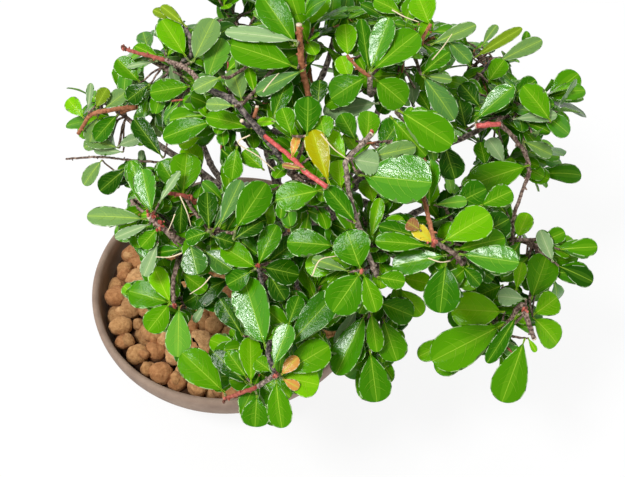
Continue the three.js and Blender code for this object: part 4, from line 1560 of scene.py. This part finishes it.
def grow_twigs():
    """The twigs that show, with what carries them and their pale cut ends"""
    for points, radii, kind, mass, foot, cut in TWIGS:
        path = np.array([at_pixel(*point) for point in points])
        relief = YOUNG_RELIEF if kind in YOUNG_BARKS else OLD_RELIEF
        curve = add_twig(path, radii, kind, sides=14, relief=relief)
        crown.keep_in_view(smooth_path(curve, FINER_PATH * len(curve)))
        if kind != "pink":
            add_spurs(path, radii, kind)
        if mass:
            kind = "brown" if kind in ("pink", "red") else kind
            arriving = unit(VIEW_BACK * TWIG_ARRIVAL - end_heading(path, foot))
            carrying_twig(mass, path[foot], arriving, (FOOT_RADIUS, radii[foot]), kind)
        if cut is not None:
            outward = end_heading(path, cut)
            ends = np.array([path[cut] - outward * CUT_SUNK, path[cut] + outward * CUT_RISE])
            tube(cut_pile, ends, radii[cut] * np.array(CUT_SPREAD), 12, 0)


def shoot_limb(stem, middle, reach, share, turn, draw):
    """A shoot that leaves the stem and ends inside the mass"""
    outward = unit(unit(middle - CROWN_HEART) + 0.35 * UP)
    first = square_to(outward)
    second = np.cross(outward, first)
    opening = draw.uniform(*SHOOT_OPENING)
    direction = (outward * math.cos(opening) + first * math.sin(opening) * math.cos(turn)
                 + second * math.sin(opening) * math.sin(turn))
    start = stem.heart(share, STEM_STEPS)
    tip = middle + direction * reach * draw.uniform(*SHOOT_REACH)
    bow = mix(start, tip, 0.5) + UP * 2
    return Limb([start, mix(start, bow, 0.7), mix(bow, tip, 0.4), tip], SHOOT_RADII)


def rule_leaf(shoot, share, turn, draw, tint, shrink):
    """A leaf that stands out from a shoot, its face turned up"""
    opening = draw.uniform(*(LEAF_OPENING if share < END_SHARE else END_OPENING))
    tangent = shoot.tangent(share)
    outward = around(tangent, turn)
    along = tangent * math.cos(opening) + outward * math.sin(opening) + UP * draw.uniform(*LEAF_LIFT)
    facing = tangent * 0.7 + UP * 0.9 + VIEW_BACK * 0.25
    facing = facing + np.array([draw.uniform(*LEAF_SWAY), draw.uniform(*LEAF_SWAY), 0])
    length = draw.uniform(*LEAF_LENGTH) * shrink
    return Leaf(shoot.point(share), along, facing, length, length * draw.uniform(*LEAF_BREADTH), tint, draw)


def leaf_fits(leaf, mass):
    lines = leaf.outline()
    return (in_own_space(lines, mass) and clear_of_limbs(lines)
            and not crown.hides(leaf) and not crown.crosses(leaf))


def grow_mass(mass, seed):
    """The shoots and leaves of a mass that the rule places between those that show"""
    draw = random.Random(seed)
    middle = np.array(MASSES[mass][0], float)
    reach = MASSES[mass][1]
    stem = stems[mass]
    shoots = []
    spin = draw.uniform(0, 2 * math.pi)
    for index in range(SHOOTS):
        for _ in range(SHOOT_TRIES):
            turn = spin + 2 * math.pi * (index * GOLDEN_SHARE + draw.uniform(*SHOOT_SWAY))
            share = mix(*SHOOT_FEET, index / (SHOOTS - 1))
            shoot = shoot_limb(stem, middle, reach, share, turn, draw)
            in_reach = in_own_space(shoot.points([0.5, 0.8, 1.0]), mass)
            if in_reach and not crown.bars(shoot.points(np.linspace(0, 1, 25))):
                shoots.append(shoot)
                break
    young = draw.choice(("orange", "red", "green", "brown"))
    turn = draw.uniform(0, FULL_TURN)
    for shoot in shoots + [stem]:
        leaves = STEM_LEAVES if shoot is stem else SHOOT_LEAVES
        last = 0
        for index in range(leaves):
            share = mix(*LEAF_SHARES, index / (leaves - 1))
            turn += GOLDEN_TURN
            for attempt in range(LEAF_TRIES):
                tint = draw.choice(FILL_TINTS)
                shrink = LEAF_SHRINK ** attempt
                leaf = rule_leaf(shoot, share, turn + attempt * TRY_TURN, draw, tint, shrink)
                if leaf_fits(leaf, mass):
                    crown.add(leaf)
                    last = share
                    break
        if shoot is stem:
            add_twig(stem.points(np.linspace(0, 1, 5)), stem.radii, "brown")
        elif last:
            path = shoot.points(np.linspace(0, last, 7))
            middle_radius = shoot.radius(YOUNG_START)
            add_twig(path[:5], (shoot.radii[0], middle_radius), "brown", sides=7)
            add_twig(path[4:], (middle_radius, shoot.radii[1]), young, sides=7)


def make_leaves():
    piles = {tint: Pile() for tint in TINTS}
    for leaf in crown.leaves:
        leaf.add_to(piles[leaf.tint])
    foliage = [f"leaves_{name}" for name in MASSES]
    for tint, pile in piles.items():
        pile.build(f"leaves_{tint}", leaf_materials(tint), "foliage", foliage if tint == "mid" else ())


def leaf_materials(tint):
    """Upper side, underside, midrib, rim with its painted highlight, side veins and the blade next to the
    midrib
    """
    colour = TINTS[tint]
    blade, specular = PLAIN_FINISH
    if tint in GLOSS_TINTS:
        blade, specular = GLOSS_FINISH
    if tint in MATT_TINTS:
        blade, specular = MATT_FINISH
    if tint == "under":
        colours = (colour, *TURNED_COLOURS)
        roughness = TURNED_ROUGHNESS
    else:
        colours = (
            colour,
            blend_colours(UNDERSIDE, colour, UNDER_BLEND),
            blend_colours(colour, VEIN_LIGHT, RIB_BLEND),
            blend_colours(colour, RIM_HIGHLIGHT, RIM_HIGHLIGHT_BLEND),
            blend_colours(colour, VEIN_LIGHT, VEIN_BLEND),
            blend_colours(colour, VEIN_LIGHT, INNER_BLEND),
        )
        roughness = (blade, *PART_ROUGHNESS, blade)
    parts = ("upper", "under", "rib", "rim", "vein", "inner")
    materials = []
    for part, shade, rough in zip(parts, colours, roughness):
        level = RIM_SPECULAR if part == "rim" else specular
        material = plain_material(f"leaf_{tint}_{part}", shade, rough, level)
        if part in ("upper", "inner", "rim") and tint != "under":
            add_relief(material, fineness=1100, detail=3, strength=0.4, depth=0.25)
        materials.append(material)
    return materials


def make_boughs():
    """The trunk with its root flare, and the boughs"""
    pile = Pile()
    for index, (name, limb) in enumerate(limbs.items()):
        rings = max(16, int(path_length(limb.points(np.linspace(0, 1, 20))) / BOUGH_RING))
        sides = TRUNK_SIDES if name == "trunk" else BOUGH_SIDES
        shares = np.linspace(0, 1, rings)
        relief = bark_relief(rings, sides, BARK_SEED + index, BOUGH_RELIEF, BOUGH_KNOTS)
        if name == "trunk":
            spread = np.maximum(0, 1 - shares / FLARE_SHARE) ** 2
            lobes = 0.55 + 0.45 * np.cos(ROOT_LOBES * np.arange(sides) * 2 * math.pi / sides)
            relief = relief * (1 + spread[:, None] * (ROOT_FLARE / TRUNK_RADII[0]) * lobes[None])
        path = limb.points(shares)
        tube(pile, path, limb.radius(shares), sides, 0 if name == "trunk" else 1, relief)
    replaced = ["trunk"] + [f"bough_{name}" for name in MASSES]
    pile.build("limbs", [bark_materials["brown"], bark_materials["dark"]], "bark", replaced)


# Pot
def pot_outside():
    """Radius and height from the foot up to the inner edge of the lip"""
    outline = [(POT_FOOT_RADIUS + step, z) for step, z in FOOT_EDGE] + [(POT_FOOT_RADIUS, POT_FOOT_Z)]
    for step in range(1, OUTSIDE_STEPS + 1):
        angle = math.pi / 2 * step / OUTSIDE_STEPS
        outline.append((mix(POT_FOOT_RADIUS, POT_RADIUS, math.sin(angle)),
                        mix(POT_FOOT_Z, POT_BELLY_Z, 1 - math.cos(angle))))
    lip = POT_WALL / 2
    for step in range(LIP_STEPS + 1):
        angle = math.pi * step / LIP_STEPS
        outline.append((POT_RADIUS - lip + lip * math.cos(angle),
                        POT_HEIGHT - POT_LIP_HEIGHT + POT_LIP_HEIGHT * math.sin(angle)))
    return outline


def pot_inside():
    """Radius and height from the lip down to the floor"""
    top = POT_RADIUS - POT_WALL
    floor = POT_FOOT_RADIUS - POT_WALL
    inside = []
    for step in range(INSIDE_STEPS + 1):
        angle = math.pi / 2 * (1 - step / INSIDE_STEPS)
        inside.append((mix(floor, top, math.sin(angle)),
                       mix(POT_FLOOR + POT_FLOOR_CURVE, POT_BELLY_Z, 1 - math.cos(angle))))
    return inside + [(floor - POT_FLOOR_EDGE, POT_FLOOR)]


def make_pot():
    """A slightly uneven thrown bowl with its drain holes"""
    rings = []
    angles = ring_angles(POT_SIDES)
    for radius, z in pot_outside() + pot_inside():
        wobble = 1 + POT_OVAL * np.sin(2 * angles + 0.6) + POT_WAVES * np.sin(5 * angles + z * 0.3)
        thrown = POT_FOOT_Z < z < POT_BELLY_Z - THROWING_MARGIN
        reach = radius * wobble + (THROWING_RELIEF * math.sin(z * THROWING_WAVES) if thrown else 0)
        rings.append(level_ring(reach, z, POT_SIDES))
    middles = np.array([[0, 0, 0], [0, 0, POT_FLOOR]])
    pile = Pile()
    pile.add(np.concatenate(rings + [middles]), ring_faces(len(rings), POT_SIDES), 0)
    clay = mottled_material("pot_clay", POT_CLAYS, roughness=0.72, fineness=95, detail=8, strength=0.12,
                            depth=0.4)
    pot = pile.build("pot_bowl", [clay], "pot_clay", ["pot"])
    for hole in range(DRAIN_HOLES):
        angle = 2 * math.pi * hole / DRAIN_HOLES
        x, y = on_circle(DRAIN_RING, angle) * MM
        bpy.ops.mesh.primitive_cylinder_add(vertices=32, radius=DRAIN_RADIUS * MM, depth=3 * POT_FLOOR * MM,
                                            location=(x, y, 0))
        drill = bpy.context.object
        cut = pot.modifiers.new("drain", "BOOLEAN")
        cut.object = drill
        cut.solver = "EXACT"
        bpy.context.view_layer.objects.active = pot
        bpy.ops.object.modifier_apply(modifier=cut.name)
        bpy.data.objects.remove(drill)
    for polygon in pot.data.polygons:
        polygon.use_smooth = True


# Clay granules
def ball(detail):
    bpy.ops.mesh.primitive_ico_sphere_add(subdivisions=detail, radius=1)
    piece = bpy.context.object
    points = np.array([vertex.co[:] for vertex in piece.data.vertices])
    faces = np.array([polygon.vertices[:] for polygon in piece.data.polygons])
    bpy.data.objects.remove(piece)
    return points, faces


def granule(points, draw, size):
    """A lumpy ball with a few worn faces"""
    shape = points.copy()
    for _ in range(WORN_FACES):
        normal = unit(draw.normal(0, 1, 3))
        shape = shape * (1 + WORN_DEPTH * draw.normal() * np.tanh(WORN_EDGE * shape @ normal)[:, None])
    rough = sum(
        np.sin(points @ draw.normal(0, LUMP_WAVES, 3) + draw.uniform(0, LUMP_WAVES))
        for _ in range(LUMPS)
    )
    return shape * (1 + LUMP_HEIGHT * rough[:, None]) * draw.uniform(*GRANULE_STRETCH, 3) * size


def add_granule(pile, ball_mesh, draw, place, z, size):
    """A granule inside the rim and beside the trunk"""
    points, faces = ball_mesh
    place = place * min(1, (GRANULE_EDGE - size) / np.linalg.norm(place))
    if np.linalg.norm(place - TRUNK_BASE) < GRANULE_ROOM + size * 0.6:
        return
    shape = granule(points, draw, size)
    shape[:, 2] = np.minimum(shape[:, 2], GRANULE_TOP - z)
    turn = draw.uniform(0, FULL_TURN)
    spin = np.array([[math.cos(turn), -math.sin(turn), 0], [math.sin(turn), math.cos(turn), 0], [0, 0, 1]])
    shade = int(draw.integers(0, len(GRANULE_SHADES)))
    pile.add(shape @ spin.T + np.array([*place, z]), faces, shade)


def granule_material(index, shade):
    # Darker in the pits and lighter on the raised bumps; the lighter colour is partly a painted highlight
    colours = (blend_colours(shade, GRANULE_DARK, 0.4), blend_colours(shade, GRANULE_PALE_AND_HIGHLIGHT, 0.2))
    return mottled_material(f"granule_{index}", colours, roughness=0.95, fineness=520, detail=9,
                            strength=1.0, depth=0.9)


def on_circle(radius, angle):
    return np.array([radius * math.cos(angle), radius * math.sin(angle)])


def make_granules():
    """A ring of granules along the rim, a spiral of them inside it and small ones over both"""
    draw = np.random.default_rng(GRANULE_SEED)
    pile = Pile()
    field = GRANULE_FIELD - GRANULE_SPACING * 0.8
    ring = int(2 * math.pi * GRANULE_FIELD / GRANULE_SPACING)
    count = int(GRANULE_DENSITY * (field / GRANULE_SPACING * 2) ** 2)
    round_mesh = ball(3)
    for index in range(ring + count):
        radius = GRANULE_FIELD
        angle = 2 * math.pi * index / ring
        if index >= ring:
            radius = field * math.sqrt((index - ring + 0.5) / count)
            angle = index * GOLDEN_TURN
        place = on_circle(radius, angle) + draw.uniform(-GRANULE_SHIFT, GRANULE_SHIFT, 2)
        z = SOIL_Z - GRANULE_SINK + draw.uniform(*GRANULE_RISE) + GRANULE_STEPS[index % 2]
        add_granule(pile, round_mesh, draw, place, z, draw.uniform(*GRANULE_SIZES))
    for index in range(SMALL_GRANULES):
        radius = (GRANULE_FIELD + 3) * math.sqrt((index + 0.5) / SMALL_GRANULES)
        angle = index * GOLDEN_TURN + 1
        place = on_circle(radius, angle) + draw.uniform(-SMALL_SHIFT, SMALL_SHIFT, 2)
        z = SOIL_Z + draw.uniform(*SMALL_RISE)
        add_granule(pile, round_mesh, draw, place, z, draw.uniform(*SMALL_SIZES))
    # A dark disc under the granules, painted shade in the gaps between them
    pile.add(*bed_disc(GRANULE_EDGE - 1.5, SOIL_Z - BED_DROP), len(GRANULE_SHADES))
    clays = [granule_material(index, shade) for index, shade in enumerate(GRANULE_SHADES)]
    gap_shade = plain_material("granule_gap_shade", GAP_SHADE, 1.0, 0.2)
    pile.build("clay_granules", clays + [gap_shade], "granules", ["clay_fill"])


def bed_disc(radius, z):
    """A dark disc below the granules, down to the pot's floor: painted shade in the gaps between them"""
    floor = POT_FLOOR + 0.5
    lower = level_ring(POT_FOOT_RADIUS - POT_WALL - 1, floor, BED_SIDES)
    upper = level_ring(radius, z, BED_SIDES)
    return np.vstack([lower, upper, [[0, 0, floor], [0, 0, z]]]), ring_faces(2, BED_SIDES)


# Buds, cut ends and dried stalks
def make_buds():
    points, faces = ball(2)
    pile = Pile()
    bud_draw = random.Random(BUD_SEED)
    for mass, pixel, spread, count in BUDS:
        heart = spot(mass, pixel)
        for _ in range(count):
            offset = np.array([bud_draw.gauss(0, 1) for _ in range(3)]) * spread * BUD_SPREAD
            size = bud_draw.uniform(*BUD_SIZES)
            stretch = np.array([1, 1, bud_draw.uniform(*BUD_STRETCH)]) * size
            pile.add(points * stretch + heart + offset, faces, bud_draw.randrange(len(BUD_SHADES)))
    materials = [plain_material(f"bud_{name}", *shade) for name, shade in BUD_SHADES.items()]
    pile.build("buds", materials, "bark")


def make_cut_ends():
    cut_pile.build("cut_ends", [plain_material("cut_wood", CUT_WOOD, 0.8)], "bark")


def make_dried_stalks():
    pile = Pile()
    steps = 14
    for mass, pixels in DRIED_STALKS:
        path = smooth_path([spot(mass, pixel) for pixel in pixels], steps)
        tube(pile, path, np.linspace(0.3, 0.18, steps), 6, 0)
    pile.build("dried_stalks", [plain_material("dried_stalk", DRIED_STALK, 0.7)], "bark")


# Stage, light and camera
def make_stage():
    bpy.ops.mesh.primitive_plane_add(size=FLOOR_SIZE, location=(0, 0, 0))
    floor = bpy.context.object
    floor.name = "floor"
    material = plain_material("floor", FLOOR_GREY, 0.9, 0.1)
    shader = material.node_tree.nodes["Principled BSDF"]
    shader.inputs["Emission Color"].default_value = (1, 1, 1, 1)
    shader.inputs["Emission Strength"].default_value = FLOOR_GLOW
    floor.data.materials.append(material)


def make_key():
    light = bpy.data.lights.new("key", "AREA")
    light.size = KEY_SIZE
    light.energy = KEY_POWER
    lamp = bpy.data.objects.new("key", light)
    bpy.context.collection.objects.link(lamp)
    lamp.location = KEY_PLACE * MM
    lamp.rotation_euler = Vector(CAMERA_TARGET - KEY_PLACE).to_track_quat("-Z", "Y").to_euler()


def make_sky():
    """White all round, weaker where the viewer stands"""
    world = bpy.data.worlds.new("studio")
    bpy.context.scene.world = world
    world.use_nodes = True
    nodes = world.node_tree.nodes
    links = world.node_tree.links
    background = nodes["Background"]
    background.inputs["Color"].default_value = (1, 1, 1, 1)
    place = nodes.new("ShaderNodeTexCoord")
    frontness = nodes.new("ShaderNodeVectorMath")
    frontness.operation = "DOT_PRODUCT"
    frontness.inputs[1].default_value = tuple(VIEW_BACK)
    fade = nodes.new("ShaderNodeMapRange")
    fade.interpolation_type = "SMOOTHSTEP"
    fade.inputs["From Min"].default_value = math.cos(math.radians(SKY_ANGLES[0]))
    fade.inputs["From Max"].default_value = math.cos(math.radians(SKY_ANGLES[1]))
    fade.inputs["To Min"].default_value = SKY_STRENGTHS[0]
    fade.inputs["To Max"].default_value = SKY_STRENGTHS[1]
    links.new(place.outputs["Generated"], frontness.inputs[0])
    links.new(frontness.outputs["Value"], fade.inputs["Value"])
    links.new(fade.outputs["Result"], background.inputs["Strength"])


def make_camera():
    camera = bpy.data.cameras.new("camera")
    camera.sensor_width = SENSOR_WIDTH
    camera.lens = FOCAL_PIXELS / IMAGE_WIDTH * SENSOR_WIDTH
    eye = bpy.data.objects.new("camera", camera)
    bpy.context.collection.objects.link(eye)
    eye.location = CAMERA_PLACE * MM
    eye.rotation_euler = (math.pi / 2 - CAMERA_ELEVATION, 0, 0)
    bpy.context.scene.camera = eye


make_camera()
make_stage()
make_sky()
make_key()
bpy.context.scene.view_settings.view_transform = "Standard"
make_pot()
make_granules()
make_boughs()
grow_sprays()
grow_twigs()
for place, mass in enumerate(MASSES):
    grow_mass(mass, MASS_SEED + place * MASS_SEED_STEP)
make_leaves()
twig_pile.build("twigs", [bark_materials[name] for name in BARK_ORDER], "bark")
make_buds()
make_cut_ends()
make_dried_stalks()
